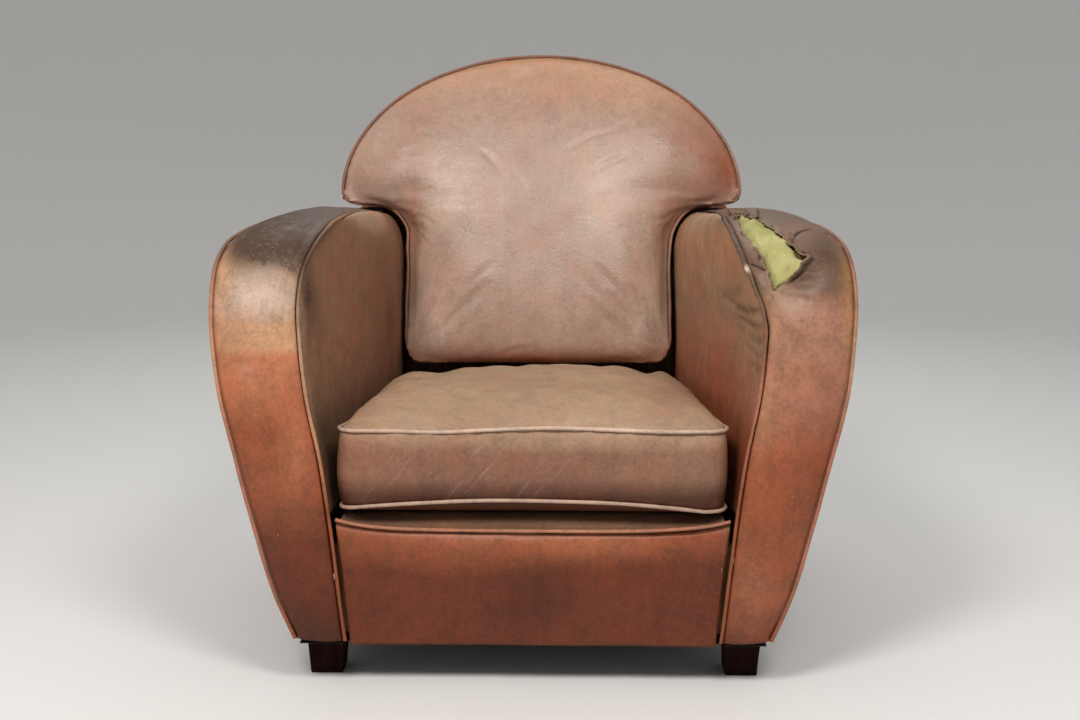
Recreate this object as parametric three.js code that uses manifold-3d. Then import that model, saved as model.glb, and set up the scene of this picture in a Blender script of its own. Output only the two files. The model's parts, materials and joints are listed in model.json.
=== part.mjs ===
// Worn leather club chair, in millimetres. +Z is up, the seat faces -Y, and +X is the sitter's left.
// The origin is on the floor, under the middle of the chair.
import * as THREE from 'three';
import { mergeVertices } from 'three/addons/utils/BufferGeometryUtils.js';
import Module from 'manifold-3d';

const wasm = await Module();
wasm.setup();

// ---- Driving dimensions -------------------------------------------------

const skin = 1.6;               // leather thickness
const gap = 0.4;                // clearance between flat pieces
const slack = 2;                // clearance between curved layers
const pipingRadius = 3.6;
const seamInset = 5.5;          // how far a panel stops short of the middle of its piping
const foamDepth = 15;           // padding under the inside arm leather
const bandFoamDepth = 24;       // padding under the arm bands
const rowsInArm = 39;           // steps along an arm band, from the floor end to the back

const footHeight = 58.5;
const footTop = 52;
const footBottom = 43;
const bodyBottom = 62;
const deckHeight = 229;         // top of the sewn deck under the loose cushion
const sideBottom = 233;         // lower edge of the inside arm leather

const cushion = {
  front: -414, rear: 38, frontHalf: 256, rearHalf: 203, corner: 26,
  bottom: 240, top: 345, crown: 22, bulge: 0.015,
};

const back = {
  leanStart: 50, leanHeight: 380, lean: 0.38,     // y of the seam line at a height, and its slope
  centre: 620, archHalf: 321, archRise: 219,      // front arch
  rearHalf: 300, rearRise: 203, rearY: 402,       // rear arch
  crown: 55, foam: 80, belly: 33.8,
};

const apronY = -408;            // plane of the front apron's edges
const deckRear = 130;           // rear edge of the deck, behind the inside back
const rail = { thick: 25, bottom: 62, top: 182, front: -398, rear: 300, half: 240 };
const blockLeg = 60;            // legs and height of a corner block

// Seams of one arm, from the foot of its front up over the top and back: inner seam, outer seam.
const armSeams = [
  [[246, -411, 63], [312, -409, 65]],
  [[253, -415, 130], [337, -415, 130]],
  [[262, -418, 222], [361, -419, 225]],
  [[273, -420, 310], [382, -420, 315]],
  [[287, -420, 385], [399, -420, 395]],
  [[294, -419, 455], [406, -419, 465]],
  [[296, -415, 505], [407, -412, 515]],
  [[292, -400, 546], [405, -393, 552]],
  [[283, -362, 577], [402, -355, 574]],
  [[273, -290, 599], [399, -280, 586]],
  [[265, -180, 606], [394, -170, 590]],
  [[262, -20, 600], [386, -10, 583]],
  [[259, 140, 588], [370, 160, 574]],
  [[262, 340, 578], [336, 392, 566]],
];
const turnRow = 5;              // row where the arm front starts to turn over
const insideEndRow = 12;        // row where the inside arm leather ends, behind the inside back
const bandCrown = 0.11;         // rise of a band in its middle, as a share of its width
const armWallAtBack = 216;      // distance from the middle to the inside arm, beside the back
const rearCorner = { bottom: 300, top: 336, y: 396 };

// Ragged hole worn through the right band: seam row, then its two edges as shares across the band.
const tearEdges = [
  [6.45, 0.12, 0.14], [6.7, 0.10, 0.18], [7.15, 0.10, 0.33], [7.6, 0.11, 0.42], [8.05, 0.12, 0.60],
  [8.4, 0.12, 0.52], [8.8, 0.12, 0.50], [9.4, 0.10, 0.55], [9.8, 0.12, 0.42], [10.2, 0.22, 0.30],
];

// ---- Materials ----------------------------------------------------------

const paint = (color, roughness, metalness = 0) =>
  new THREE.MeshStandardMaterial({ color, roughness, metalness });

const leather = {
  back: () => paint('#a8796a', 0.42),
  seat: () => paint('#84695a', 0.48),
  arm: () => paint('#8f5f4e', 0.45),
  side: () => paint('#7a5a4b', 0.5),
  piping: () => paint('#6e4a3c', 0.5),
};
const foam = () => paint('#c9b74e', 0.95);
const beech = () => paint('#c49a6c', 0.7);
const mahogany = () => paint('#2e1712', 0.35);
const steel = () => paint('#7d7f80', 0.4, 0.9);
const blackCloth = () => paint('#24211f', 0.9);
const webbing = () => paint('#b09a6d', 0.85);

// ---- Helpers ------------------------------------------------------------

const vec = (x, y, z) => new THREE.Vector3(x, y, z);
const mix = THREE.MathUtils.lerp;
const smooth = (x, from, to) => THREE.MathUtils.smoothstep(x, from, to);

// One closed body with merged corners and its faces pointing out.
function closed(geometry) {
  geometry.deleteAttribute('normal');
  geometry.deleteAttribute('uv');
  const body = mergeVertices(geometry, 1e-3);
  const p = body.attributes.position;
  const index = Array.from(body.index.array);
  const corner = [vec(), vec(), vec()];
  const faces = [];
  let volume = 0;
  for (let i = 0; i < index.length; i += 3) {
    const abc = index.slice(i, i + 3);
    if (new Set(abc).size < 3) continue;
    abc.forEach((at, k) => corner[k].fromBufferAttribute(p, at));
    volume += corner[0].dot(corner[1].cross(corner[2]));
    faces.push(abc);
  }
  if (volume < 0) faces.forEach((abc) => abc.reverse());
  body.setIndex(faces.flat());
  return body;
}

// Bends a geometry by sending each corner, with its texture place, somewhere else.
function bent(geometry, place) {
  const p = geometry.attributes.position;
  const uv = geometry.attributes.uv;
  for (let i = 0; i < p.count; i += 1) {
    const to = place(vec().fromBufferAttribute(p, i), uv.getX(i), uv.getY(i));
    p.setXYZ(i, to.x, to.y, to.z);
  }
  return closed(geometry);
}

// A point of surface(u, v), moved along its normal, which points in under the leather.
function sunk(surface, u, v, depth) {
  const step = 0.004;
  const along = surface(Math.min(u + step, 1), v).sub(surface(Math.max(u - step, 0), v));
  const across = surface(u, Math.min(v + step, 1)).sub(surface(u, Math.max(v - step, 0)));
  return surface(u, v).addScaledVector(along.cross(across).normalize(), depth);
}

// A sheet that follows surface(u, v), between two depths under it.
function sheet(surface, columns, rows, from, to) {
  const slab = new THREE.BoxGeometry(1, 1, 1, columns, rows, 1);
  return bent(slab, (at) => sunk(surface, at.x + 0.5, at.y + 0.5, mix(from, to, at.z + 0.5)));
}

// A round body: place(index around, ring), from ring 0 at the first pole to the last pole.
function rounded(around, rings, place) {
  const ball = new THREE.SphereGeometry(1, around, rings);
  return bent(ball, (at, u, v) =>
    place((Math.round(u * around) + around) % around, Math.round((1 - v) * rings)));
}

const ringOf = (radius, sides) => new THREE.Shape(Array.from({ length: sides }, (_, i) => {
  const turn = (i / sides) * 2 * Math.PI;
  return new THREE.Vector2(radius * Math.cos(turn), radius * Math.sin(turn));
}));

// A cord with two ends, along a curve.
function cord(curve, radius, steps, sides = 6) {
  const options = { steps, extrudePath: curve, bevelEnabled: false };
  return closed(new THREE.ExtrudeGeometry(ringOf(radius, sides), options));
}

// A cord that closes on itself, through a ring of points; flat is the normal of the ring's plane.
function loopCord(points, radius, flat, sides = 6) {
  const count = points.length;
  const ring = new THREE.TorusGeometry(1, 0.1, sides, count);
  return bent(ring, (at, u, v) => {
    const i = Math.round(u * count) % count;
    const turn = v * 2 * Math.PI;
    const along = points[(i + 1) % count].clone().sub(points[(i + count - 1) % count]);
    const out = along.cross(flat).normalize();
    return points[i].clone().addScaledVector(out, radius * Math.cos(turn))
      .addScaledVector(flat, radius * Math.sin(turn));
  });
}

// Mirrored copy, for the other side of the chair.
function mirrored(geometry) {
  const copy = geometry.clone();
  copy.scale(-1, 1, 1);
  copy.setIndex(Array.from(copy.index.array).reverse());
  return copy;
}

// A straight board between two corners.
function board(low, high) {
  const size = high.map((value, i) => value - low[i]);
  const box = new THREE.BoxGeometry(...size);
  box.translate(...low.map((value, i) => value + size[i] / 2));
  return closed(box);
}

// A flat panel standing across the chair, from an outline in x and z; y is its rear face.
function panel(outline, thickness, y, curveSegments = 12) {
  const options = { depth: thickness, steps: 1, bevelEnabled: false, curveSegments };
  const plate = new THREE.ExtrudeGeometry(outline, options);
  plate.rotateX(Math.PI / 2);
  plate.translate(0, y, 0);
  return closed(plate);
}

const toShape = (points) => new THREE.Shape(points.map(([x, y]) => new THREE.Vector2(x, y)));

const toSolid = (geometry) => new wasm.Manifold(new wasm.Mesh({
  numProp: 3,
  vertProperties: new Float32Array(geometry.attributes.position.array),
  triVerts: new Uint32Array(geometry.index.array),
}));

function fromSolid(solid) {
  const mesh = solid.getMesh();
  const geometry = new THREE.BufferGeometry();
  geometry.setAttribute('position', new THREE.BufferAttribute(mesh.vertProperties, 3));
  geometry.setIndex(Array.from(mesh.triVerts));
  return closed(geometry);
}

const cut = (geometry, ...tools) =>
  fromSolid(tools.reduce((body, tool) => body.subtract(toSolid(tool)), toSolid(geometry)));

const chair = new THREE.Group();

function add(name, geometry, material) {
  const mesh = new THREE.Mesh(geometry, material);
  mesh.name = name;
  chair.add(mesh);
}

// The same piece on both sides of the chair; it is modelled on the right, where x is positive.
function addPair(name, geometry, material) {
  add(`right_${name}`, geometry, material());
  add(`left_${name}`, mirrored(geometry), material());
}

// ---- Arms ------------------------------------------------------------------

const seamCurve = (side) =>
  new THREE.CatmullRomCurve3(armSeams.map((row) => vec(...row[side])), false, 'centripetal');
const innerSeam = seamCurve(0);
const outerSeam = seamCurve(1);
const lastRow = armSeams.length - 1;

// A seam's x (axis 0) or y (axis 1) at a height, below the turn of the arm.
function seamAt(side, z, axis = 0) {
  const rows = armSeams.slice(0, turnRow + 1).map((row) => row[side]);
  const above = rows.findIndex((row) => row[2] >= z);
  const next = above < 0 ? turnRow : Math.max(1, above);
  const [low, high] = [rows[next - 1], rows[next]];
  return mix(low[axis], high[axis], (z - low[2]) / (high[2] - low[2]));
}

// Arm band: u along the seams from the floor end, v from the inner to the outer seam.
function bandSurface(u, v, insets = [seamInset, seamInset]) {
  const a = innerSeam.getPoint(u);
  const b = outerSeam.getPoint(u);
  const width = a.distanceTo(b);
  const share = mix(insets[0], width - insets[1], v) / width;
  const along = innerSeam.getTangent(u).add(outerSeam.getTangent(u));
  const out = b.clone().sub(a).cross(along).normalize();
  return a.lerp(b, share).addScaledVector(out, bandCrown * width * 4 * share * (1 - share));
}

// Inside arm: a wall that leans in toward the back and rolls over at the top to the inner seam.
function insideArm(u, v) {
  const inset = seamInset;
  const top = innerSeam.getPoint(mix(turnRow, insideEndRow, u) / lastRow);
  const y = top.y + inset * (1 - u);
  const toBack = smooth(y, -420, 20);
  const roll = mix(8, 60, toBack);
  const topZ = top.z - inset * Math.sqrt(1 - toBack);
  const topX = top.x - inset * Math.sqrt(toBack);
  const wallShare = 0.6;
  const turn = Math.max(0, (v - wallShare) / (1 - wallShare)) * (Math.PI / 2);
  const z = v < wallShare ? mix(sideBottom, topZ - roll, v / wallShare) : topZ - roll + roll * Math.sin(turn);
  const wall = mix(seamAt(0, Math.min(z, top.z)), armWallAtBack, toBack);
  return vec(mix(wall, Math.max(topX, wall), 1 - Math.cos(turn)), y, z);
}

// Outside arm: u from the rear corner forward, v from the floor end up to the outer seam.
function outsideArm(u, v) {
  const top = outerSeam.getPoint(mix(lastRow, turnRow, u) / lastRow);
  const y = top.y + seamInset * u + (seamAt(1, mix(bodyBottom, top.z, v), 1) - seamAt(1, top.z, 1)) * u ** 4;
  const toBack = (y + 420) / (armSeams[lastRow][1][1] + 420);
  const topZ = top.z - seamInset;
  const z = mix(bodyBottom + 2, topZ, v);
  const rear = mix(rearCorner.bottom, rearCorner.top, (z - bodyBottom) / (topZ - bodyBottom));
  return vec(mix(seamAt(1, z), rear, toBack ** 1.3) - 1, y, z);
}

// A plug through the leather of the right band, in the shape of the hole worn through it.
function tearPlug() {
  const reach = 6;
  const spans = tearEdges.length - 1;
  const hole = (u, v) => {
    const at = Math.min(Math.floor(u * spans), spans - 1);
    const [row, inner, outer] = tearEdges[at].map((low, k) => mix(low, tearEdges[at + 1][k], u * spans - at));
    return bandSurface(row / lastRow, mix(inner, outer, v));
  };
  return sheet(hole, 2 * spans, 2, -reach, reach);
}

function addArms() {
  const band = sheet(bandSurface, rowsInArm, 4, 0, skin);
  add('left_arm_band', mirrored(band), leather.arm());
  add('right_arm_band', cut(band, tearPlug()), leather.arm());

  const insets = [seamInset + foamDepth + 14, seamInset + 4];
  const padded = (u, v) => bandSurface(mix(0.03, 0.9, u), v, insets);
  addPair('arm_band_foam', sheet(padded, 26, 2, skin + slack, skin + bandFoamDepth), foam);

  addPair('inside_arm_cover', sheet(insideArm, 12, 8, 0, skin), leather.side);
  const lining = (u, v) => insideArm(mix(0.02, 0.97, u), mix(0.03, 0.82, v));
  addPair('inside_arm_foam', sheet(lining, 9, 7, skin + 1.6 * slack, skin + foamDepth), foam);

  addPair('outside_arm_cover', sheet(outsideArm, 14, 5, 0, skin), leather.side);
  const visible = armSeams.slice(0, insideEndRow + 1).map((row) => vec(...row[0]));
  const innerLine = new THREE.CatmullRomCurve3(visible, false, 'centripetal');
  addPair('arm_inner_piping', cord(innerLine, pipingRadius, 36), leather.piping);
  addPair('arm_outer_piping', cord(outerSeam, pipingRadius, 38), leather.piping);
}

// ---- Back ------------------------------------------------------------------

const seamY = (z) => back.leanStart + (z - back.leanHeight) * back.lean;

// Outline of the inside back: a trunk between the arms, a notch over each arm, an ear and an arch.
// Its points run evenly from the middle of the bottom edge, up the right side and down the left.
function backOutline(count) {
  const lower = new THREE.SplineCurve([
    [0, 360], [120, 361], [184, 366], [201, 384], [206, 430], [206, 520], [213, 562],
    [234, 590], [262, 600], [298, 603], [315, 609], [back.archHalf, back.centre],
  ].map(([x, z]) => new THREE.Vector2(x, z)));
  const half = new THREE.CurvePath();
  half.add(lower);
  half.add(new THREE.EllipseCurve(0, back.centre, back.archHalf, back.archRise, 0, Math.PI / 2));
  const right = half.getSpacedPoints(count / 2);
  const left = right.slice(1, -1).reverse().map((p) => new THREE.Vector2(-p.x, p.y));
  return [...right, ...left];
}

// The same outline, moved in from the seam.
function setIn(outline, inset) {
  const count = outline.length;
  return outline.map((p, i) => {
    const along = outline[(i + 1) % count].clone().sub(outline[(i + count - 1) % count]).normalize();
    return new THREE.Vector2(p.x - along.y * inset, p.y + along.x * inset);
  });
}

// Point of the domed inside back; share runs from 0 in the middle to 1 at the edge.
function domePoint(edge, share) {
  const z = back.centre + (edge.y - back.centre) * share;
  return vec(edge.x * share, seamY(z) - back.crown * (1 - share ** 2.4), z);
}

function addInsideBack() {
  const outline = backOutline(44);
  const under = vec(0, skin, 0);

  const coverEdge = setIn(outline, seamInset);
  const shares = [0, 0.4, 0.7, 0.9, 1];
  const rim = shares.length - 1;
  const cover = rounded(outline.length, 2 * rim + 1, (i, ring) => {
    if (ring <= rim) return domePoint(coverEdge[i], shares[ring]);
    return domePoint(coverEdge[i], shares[2 * rim + 1 - ring]).add(under);
  });
  add('inside_back_cover', cover, leather.back());

  const foamEdge = setIn(outline, seamInset + 7);
  const foamRings = [[0, 0], [0.5, 0], [0.85, 0], [1, 0], [1, 1], [0, 1]];
  const block = rounded(outline.length, foamRings.length - 1, (i, ring) => {
    const [share, behind] = foamRings[ring];
    const at = domePoint(foamEdge[i], share);
    const rear = seamY(at.z) + back.foam;
    return at.setY(behind ? rear : at.y + skin + 2 * slack);
  });
  add('inside_back_foam', block, foam());

  const tilt = vec(0, 1, -back.lean).normalize();
  const line = outline.map((p) => vec(p.x, seamY(p.y), p.y));
  add('inside_back_piping', loopCord(line, pipingRadius, tilt), leather.piping());
}

// Point of an arch over the back, from u = 0 at one ear to 1 at the other, dipping below its middle.
function archPoint(u, half, rise, dip) {
  const turn = THREE.MathUtils.degToRad(mix(-dip, 180 + dip, u));
  return vec(half * Math.cos(turn), 0, back.centre + rise * Math.sin(turn));
}

// Leather between the front and the rear arch: u from ear to ear over the top, v front to rear.
function backBandSurface(u, v) {
  const front = archPoint(u, back.archHalf, back.archRise, 2.5);
  front.y = seamY(front.z);
  const rear = archPoint(u, back.rearHalf, back.rearRise, 9).setY(back.rearY);
  const width = front.distanceTo(rear);
  const share = mix(seamInset, width - seamInset, v) / width;
  const crown = 9 * 4 * share * (1 - share);
  const out = archPoint(u, crown, crown, 0).setZ(crown * Math.sin(Math.PI * u));
  return front.lerp(rear, share).add(out);
}

// Outside back: u across the chair, v from the floor end up to the rear arch. It is widest where
// it meets the tops of the arms, and narrows above them to the arch.
function outsideBack(u, v) {
  const side = 2 * u - 1;
  const top = archPoint(1 - u, back.rearHalf, back.rearRise, 0);
  const z = mix(bodyBottom + 2, top.z - seamInset, v);
  const armEnd = armSeams[lastRow][1][2];
  const spread = smooth(z, bodyBottom, armEnd) * (1 - smooth(z, armEnd, back.centre));
  const shoulder = (rearCorner.top - rearCorner.bottom) * spread * side ** 3;
  const x = mix(rearCorner.bottom * side, top.x, v ** 2) + shoulder;
  const belly = (1 - side ** 2) * Math.sin(Math.PI * mix(0.1, 0.92, v));
  return vec(x * 0.995, mix(rearCorner.y, back.rearY, v) + back.belly * belly, z);
}

// Leather down one side of the inside back, in the gap beside the arm.
function sideFacing(u, v) {
  const z = mix(392, 545, v);
  return vec(mix(200.5, 203, v ** 4), seamY(z) + mix(back.foam - 8, seamInset, u), z);
}

function addBack() {
  addInsideBack();
  addPair('inside_back_facing', sheet(sideFacing, 2, 4, 0, skin), leather.side);
  add('back_band', sheet(backBandSurface, 28, 4, 0, skin), leather.back());
  add('outside_back_cover', sheet(outsideBack, 14, 7, 0, skin), leather.side());
}

// ---- Seat ------------------------------------------------------------------

// Plan of the cushion, starting in the middle of its rear edge: tapered, with rounded corners.
function cushionPlan(inset) {
  const { front, rear, frontHalf, rearHalf, corner } = cushion;
  const corners = [
    [corner - rearHalf, rear - corner, 90], [corner - frontHalf, front + corner, 180],
    [frontHalf - corner, front + corner, 270], [rearHalf - corner, rear - corner, 0],
  ];
  const steps = 5;
  return corners.flatMap(([x, y, from]) => Array.from({ length: steps }, (_, i) => {
    const turn = THREE.MathUtils.degToRad(from + (90 * i) / (steps - 1));
    return new THREE.Vector2(
      x + (corner - inset) * Math.cos(turn), y + (corner - inset) * Math.sin(turn));
  }));
}

// The cushion's form, set in from its seams by a given amount all round.
function cushionForm(inset) {
  const plan = cushionPlan(inset);
  const { top, bottom, crown } = cushion;
  const middle = (cushion.front + cushion.rear) / 2;
  const sink = inset - seamInset;
  const rings = [
    [0, top + crown - sink], [0.45, top + crown * 0.85 - sink], [0.8, top + crown * 0.45 - sink],
    [1, top - sink], [1 + cushion.bulge, (top + bottom) / 2], [1, bottom + sink],
    [0.5, bottom - 3 + sink], [0, bottom - 3 + sink],
  ];
  return rounded(plan.length, rings.length - 1, (i, ring) => {
    const [share, z] = rings[ring];
    return vec(plan[i].x * share, middle + (plan[i].y - middle) * share, z);
  });
}

function addCushion() {
  const zip = { half: 170, low: 287, high: 297 };
  const reach = 14;
  const inside = cushionForm(seamInset + skin);
  const slot = board([-zip.half, cushion.rear - reach, zip.low], [zip.half, cushion.rear + reach, zip.high]);
  add('seat_cushion_cover', cut(cushionForm(seamInset), inside, slot), leather.seat());
  add('seat_cushion_foam', cushionForm(seamInset + skin + gap), foam());
  const tape = board([gap - zip.half, cushion.rear - reach, zip.low + gap],
    [zip.half - gap, cushion.rear + 1, zip.high - gap]);
  add('seat_cushion_zip', cut(tape, inside), blackCloth());

  [['top', cushion.top], ['bottom', cushion.bottom]].forEach(([name, z]) => {
    const line = cushionPlan(0).map((p) => vec(p.x, p.y, z));
    add(`seat_cushion_${name}_piping`, loopCord(line, pipingRadius, vec(0, 0, 1)), leather.piping());
  });
}

const apronTop = (side) => mix(213, 225, side ** 4);

// Front apron between the arms: u across the chair, v up to the piping under the cushion.
function apronSurface(u, v) {
  const side = 1 - 2 * u;
  const z = mix(bodyBottom - 5, apronTop(side) - seamInset, v);
  const half = seamAt(0, z) - pipingRadius - 3;
  const belly = (1 - side ** 2) * Math.sin(Math.PI * v);
  return vec(side * half, apronY - 6 * belly, z);
}

// A level sheet between the arms, at a given height.
const deckAt = (z) => (u, v) => {
  const y = mix(apronY + 6, deckRear, v);
  return vec((2 * u - 1) * mix(248, 205, smooth(y, -420, 20)), y, z);
};

function addFront() {
  add('front_apron_cover', sheet(apronSurface, 12, 4, 0, skin), leather.arm());
  const half = seamAt(0, apronTop(1)) - pipingRadius - 4;
  const line = [-1, -0.7, 0, 0.7, 1].map((side) => vec(side * half, apronY, apronTop(side)));
  add('front_apron_piping', cord(new THREE.CatmullRomCurve3(line), pipingRadius, 16), leather.piping());

  const deckFoam = 25;
  const under = deckHeight - skin - gap - deckFoam;
  add('deck_cover', sheet(deckAt(deckHeight - skin), 1, 6, 0, skin), leather.side());
  add('deck_foam', sheet(deckAt(under), 1, 6, 0, deckFoam), foam());
}

// ---- Frame, springs and feet -------------------------------------------------

function addFeet() {
  const places = { front: [279, -342], rear: [262, 330] };
  Object.entries(places).forEach(([end, [x, y]]) => {
    const block = new THREE.CylinderGeometry(
      footTop * Math.SQRT1_2, footBottom * Math.SQRT1_2, footHeight, 4);
    block.rotateY(Math.PI / 4);
    block.rotateX(Math.PI / 2);
    block.translate(x, y, footHeight / 2);
    addPair(`${end}_foot`, closed(block), mahogany);
  });
  const half = [[242, apronY + 6], [250, apronY + 6], [252, -411], [306, -411], [296, rearCorner.y - 4]];
  const otherHalf = half.map(([x, y]) => [-x, y]).reverse();
  const cloth = toShape([...half, ...otherHalf]);
  const cover = new THREE.ExtrudeGeometry(cloth, { depth: 1, steps: 1, bevelEnabled: false });
  cover.translate(0, 0, footHeight + gap);
  add('dust_cover', closed(cover), blackCloth());
}

function addSeatFrame() {
  const { thick, bottom, top, front, rear, half } = rail;
  const outer = half + gap;
  add('front_seat_rail', board([-half, front, bottom], [half, front + thick, top]), beech());
  add('rear_seat_rail', board([-half, rear - thick, bottom], [half, rear, top]), beech());
  const side = board([outer, front + thick, bottom], [outer + 22, rear, top]);
  addPair('side_seat_rail', side, beech);

  const wedge = toShape([[0, 0], [blockLeg, 0], [0, blockLeg]]);
  const options = { depth: blockLeg, steps: 1, bevelEnabled: false };
  const frontBlock = new THREE.ExtrudeGeometry(wedge, options);
  frontBlock.rotateZ(Math.PI / 2);
  frontBlock.translate(half, front + thick + gap, bottom);
  addPair('front_corner_block', closed(frontBlock), beech);
  const rearBlock = new THREE.ExtrudeGeometry(wedge, options);
  rearBlock.rotateZ(Math.PI);
  rearBlock.translate(half, rear - thick - gap, bottom);
  addPair('rear_corner_block', closed(rearBlock), beech);
}

function addUpperFrame() {
  const facing = toShape([
    [276, 66], [298, 66], [322, 130], [348, 225], [368, 315], [384, 395], [388, 465], [364, 492],
    [328, 492], [322, 440], [306, 330], [292, 222],
  ]);
  addPair('arm_front_board', panel(facing, 15, -374), beech);

  const armRail = board([-24, -300, -10], [24, 300, 10]);
  armRail.rotateZ(0.07);
  armRail.translate(322, -70, 530);
  addPair('arm_top_rail', armRail, beech);

  const post = board([rail.half + gap, 262, rail.top + gap], [rail.half + 22, 302, 596]);
  addPair('back_post', post, beech);

  const arch = new THREE.Shape();
  arch.absellipse(0, 600, 262, 168, 0, Math.PI, false);
  arch.absellipse(0, 600, 205, 118, Math.PI, 0, true);
  add('back_top_rail', panel(arch, 22, 330, 10), beech());
  add('back_lower_rail', board([-rail.half, 268, 300], [rail.half, 290, 360]), beech());
}

function addSprings() {
  const wire = 1.9;
  const sway = 24;
  const waves = 6.5;
  const [start, end] = [rail.front + 6, rail.rear - 6];
  [-164, -82, 0, 82, 164].forEach((x, i) => {
    const points = Array.from({ length: waves * 6 + 1 }, (_, k) => {
      const share = k / (waves * 6);
      const arch = 8 * Math.sin(Math.PI * share);
      return vec(x + sway * Math.sin(2 * Math.PI * waves * share), mix(start, end, share),
        rail.top + wire + gap + arch);
    });
    const line = new THREE.CatmullRomCurve3(points);
    add(`seat_spring_${i + 1}`, cord(line, wire, 39, 4), steel());
  });
}

function addWebbing() {
  const strap = { half: 262, wide: 50, thick: 1.5 };
  [390, 460, 530].forEach((z, i) => {
    const rear = 262 - gap;
    const low = [-strap.half, rear - strap.thick, z - strap.wide / 2];
    const high = [strap.half, rear, z + strap.wide / 2];
    add(`back_strap_${i + 1}`, board(low, high), webbing());
  });
}

addArms();
addBack();
addCushion();
addFront();
addFeet();
addSeatFrame();
addUpperFrame();
addSprings();
addWebbing();

export default chair;
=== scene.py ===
import json
import math
import bpy
import numpy as np
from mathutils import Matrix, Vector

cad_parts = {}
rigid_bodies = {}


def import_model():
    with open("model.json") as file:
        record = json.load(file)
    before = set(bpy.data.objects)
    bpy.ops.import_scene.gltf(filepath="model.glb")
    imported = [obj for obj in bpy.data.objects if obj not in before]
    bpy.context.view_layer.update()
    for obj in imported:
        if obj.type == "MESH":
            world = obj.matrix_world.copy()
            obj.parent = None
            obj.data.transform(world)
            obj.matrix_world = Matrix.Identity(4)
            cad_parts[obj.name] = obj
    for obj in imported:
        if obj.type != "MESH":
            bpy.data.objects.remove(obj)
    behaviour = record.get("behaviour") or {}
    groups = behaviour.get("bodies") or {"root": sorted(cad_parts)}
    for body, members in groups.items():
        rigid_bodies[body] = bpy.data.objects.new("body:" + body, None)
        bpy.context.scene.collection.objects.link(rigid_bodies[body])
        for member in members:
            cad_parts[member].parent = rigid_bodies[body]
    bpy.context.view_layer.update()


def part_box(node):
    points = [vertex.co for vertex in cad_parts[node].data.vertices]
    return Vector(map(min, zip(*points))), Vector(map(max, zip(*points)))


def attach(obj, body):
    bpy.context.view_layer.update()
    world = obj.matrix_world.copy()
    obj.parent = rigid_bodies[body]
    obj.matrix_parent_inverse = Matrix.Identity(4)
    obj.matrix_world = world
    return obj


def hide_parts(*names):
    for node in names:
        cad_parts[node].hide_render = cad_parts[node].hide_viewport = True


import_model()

# Worn leather club chair. Sizes are in metres. The seat faces -Y and the torn arm is on +X.


def deselectAll():
    if bpy.context.mode != 'OBJECT':
        bpy.ops.object.mode_set(mode='OBJECT')
    bpy.ops.object.select_all(action='DESELECT')


def pick(piece):
    deselectAll()
    piece.select_set(True)
    bpy.context.view_layer.objects.active = piece


def named(piece, name):
    piece.name = name
    piece.data.name = name
    return piece


def getPoints(piece):
    flat = np.empty(len(piece.data.vertices) * 3)
    piece.data.vertices.foreach_get('co', flat)
    return flat.reshape(-1, 3)


def setPoints(piece, points):
    piece.data.vertices.foreach_set('co', points.ravel())
    piece.data.update()


def getNormals(piece):
    flat = np.empty(len(piece.data.vertices) * 3)
    piece.data.vertex_normals.foreach_get('vector', flat)
    return flat.reshape(-1, 3)


def paint(piece, name, values):
    layer = piece.data.attributes.get(name) or piece.data.attributes.new(name, 'FLOAT', 'POINT')
    layer.data.foreach_set('value', np.clip(values, 0, 1).astype(np.float32))


def getMask(piece, name):
    values = np.empty(len(piece.data.vertices), dtype=np.float32)
    piece.data.attributes[name].data.foreach_get('value', values)
    return values


def applyModifier(piece, kind, **settings):
    pick(piece)
    modifier = piece.modifiers.new(kind.title(), kind)
    for key, value in settings.items():
        setattr(modifier, key, value)
    bpy.ops.object.modifier_apply(modifier=modifier.name)


def fixNormals(piece):
    pick(piece)
    bpy.ops.object.mode_set(mode='EDIT')
    bpy.ops.mesh.select_all(action='SELECT')
    bpy.ops.mesh.normals_make_consistent(inside=False)
    bpy.ops.object.mode_set(mode='OBJECT')


def smooth(piece):
    pick(piece)
    bpy.ops.object.shade_smooth()


def ramp(values, low, high):  # 0 below low, 1 above high, eased between
    t = np.clip((values - low) / (high - low), 0, 1)
    return t * t * (3 - 2 * t)


def blend(a, b, t):
    return a + (b - a) * t


def ripple(points, size, seed, waves=10):
    # smooth seeded noise, about -1 to 1, with lumps of about the given size
    rng = np.random.default_rng(seed)
    total = np.zeros(len(points))
    for _ in range(waves):
        direction = rng.normal(size=points.shape[1])
        direction *= rng.uniform(0.5, 1.5) * math.pi / (size * np.linalg.norm(direction))
        total += np.sin(points @ direction + rng.uniform(0, 2 * math.pi))
    return total / math.sqrt(waves)


def splineThrough(stops, at):
    # centripetal spline through the stops; at runs from 0 at the first to 1 at the last
    stops = np.asarray(stops, float)
    padded = np.vstack([2 * stops[0] - stops[1], stops, 2 * stops[-1] - stops[-2]])
    place = np.clip(at, 0, 1) * (len(stops) - 1)
    span = np.minimum(place.astype(int), len(stops) - 2)
    t = (place - span)[:, None]
    p = [padded[span + k] for k in range(4)]
    step = [np.sqrt(np.linalg.norm(p[k + 1] - p[k], axis=1))[:, None] + 1e-9 for k in range(3)]
    middle = (p[2] - p[1]) / step[1]
    inward = ((p[1] - p[0]) / step[0] - (p[2] - p[0]) / (step[0] + step[1]) + middle) * step[1]
    onward = (middle - (p[3] - p[1]) / (step[1] + step[2]) + (p[3] - p[2]) / step[2]) * step[1]
    a = 2 * p[1] - 2 * p[2] + inward + onward
    b = -3 * p[1] + 3 * p[2] - 2 * inward - onward
    return ((a * t + b) * t + inward) * t + p[1]


def unit(vectors):
    return vectors / (np.linalg.norm(vectors, axis=1, keepdims=True) + 1e-12)


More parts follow.
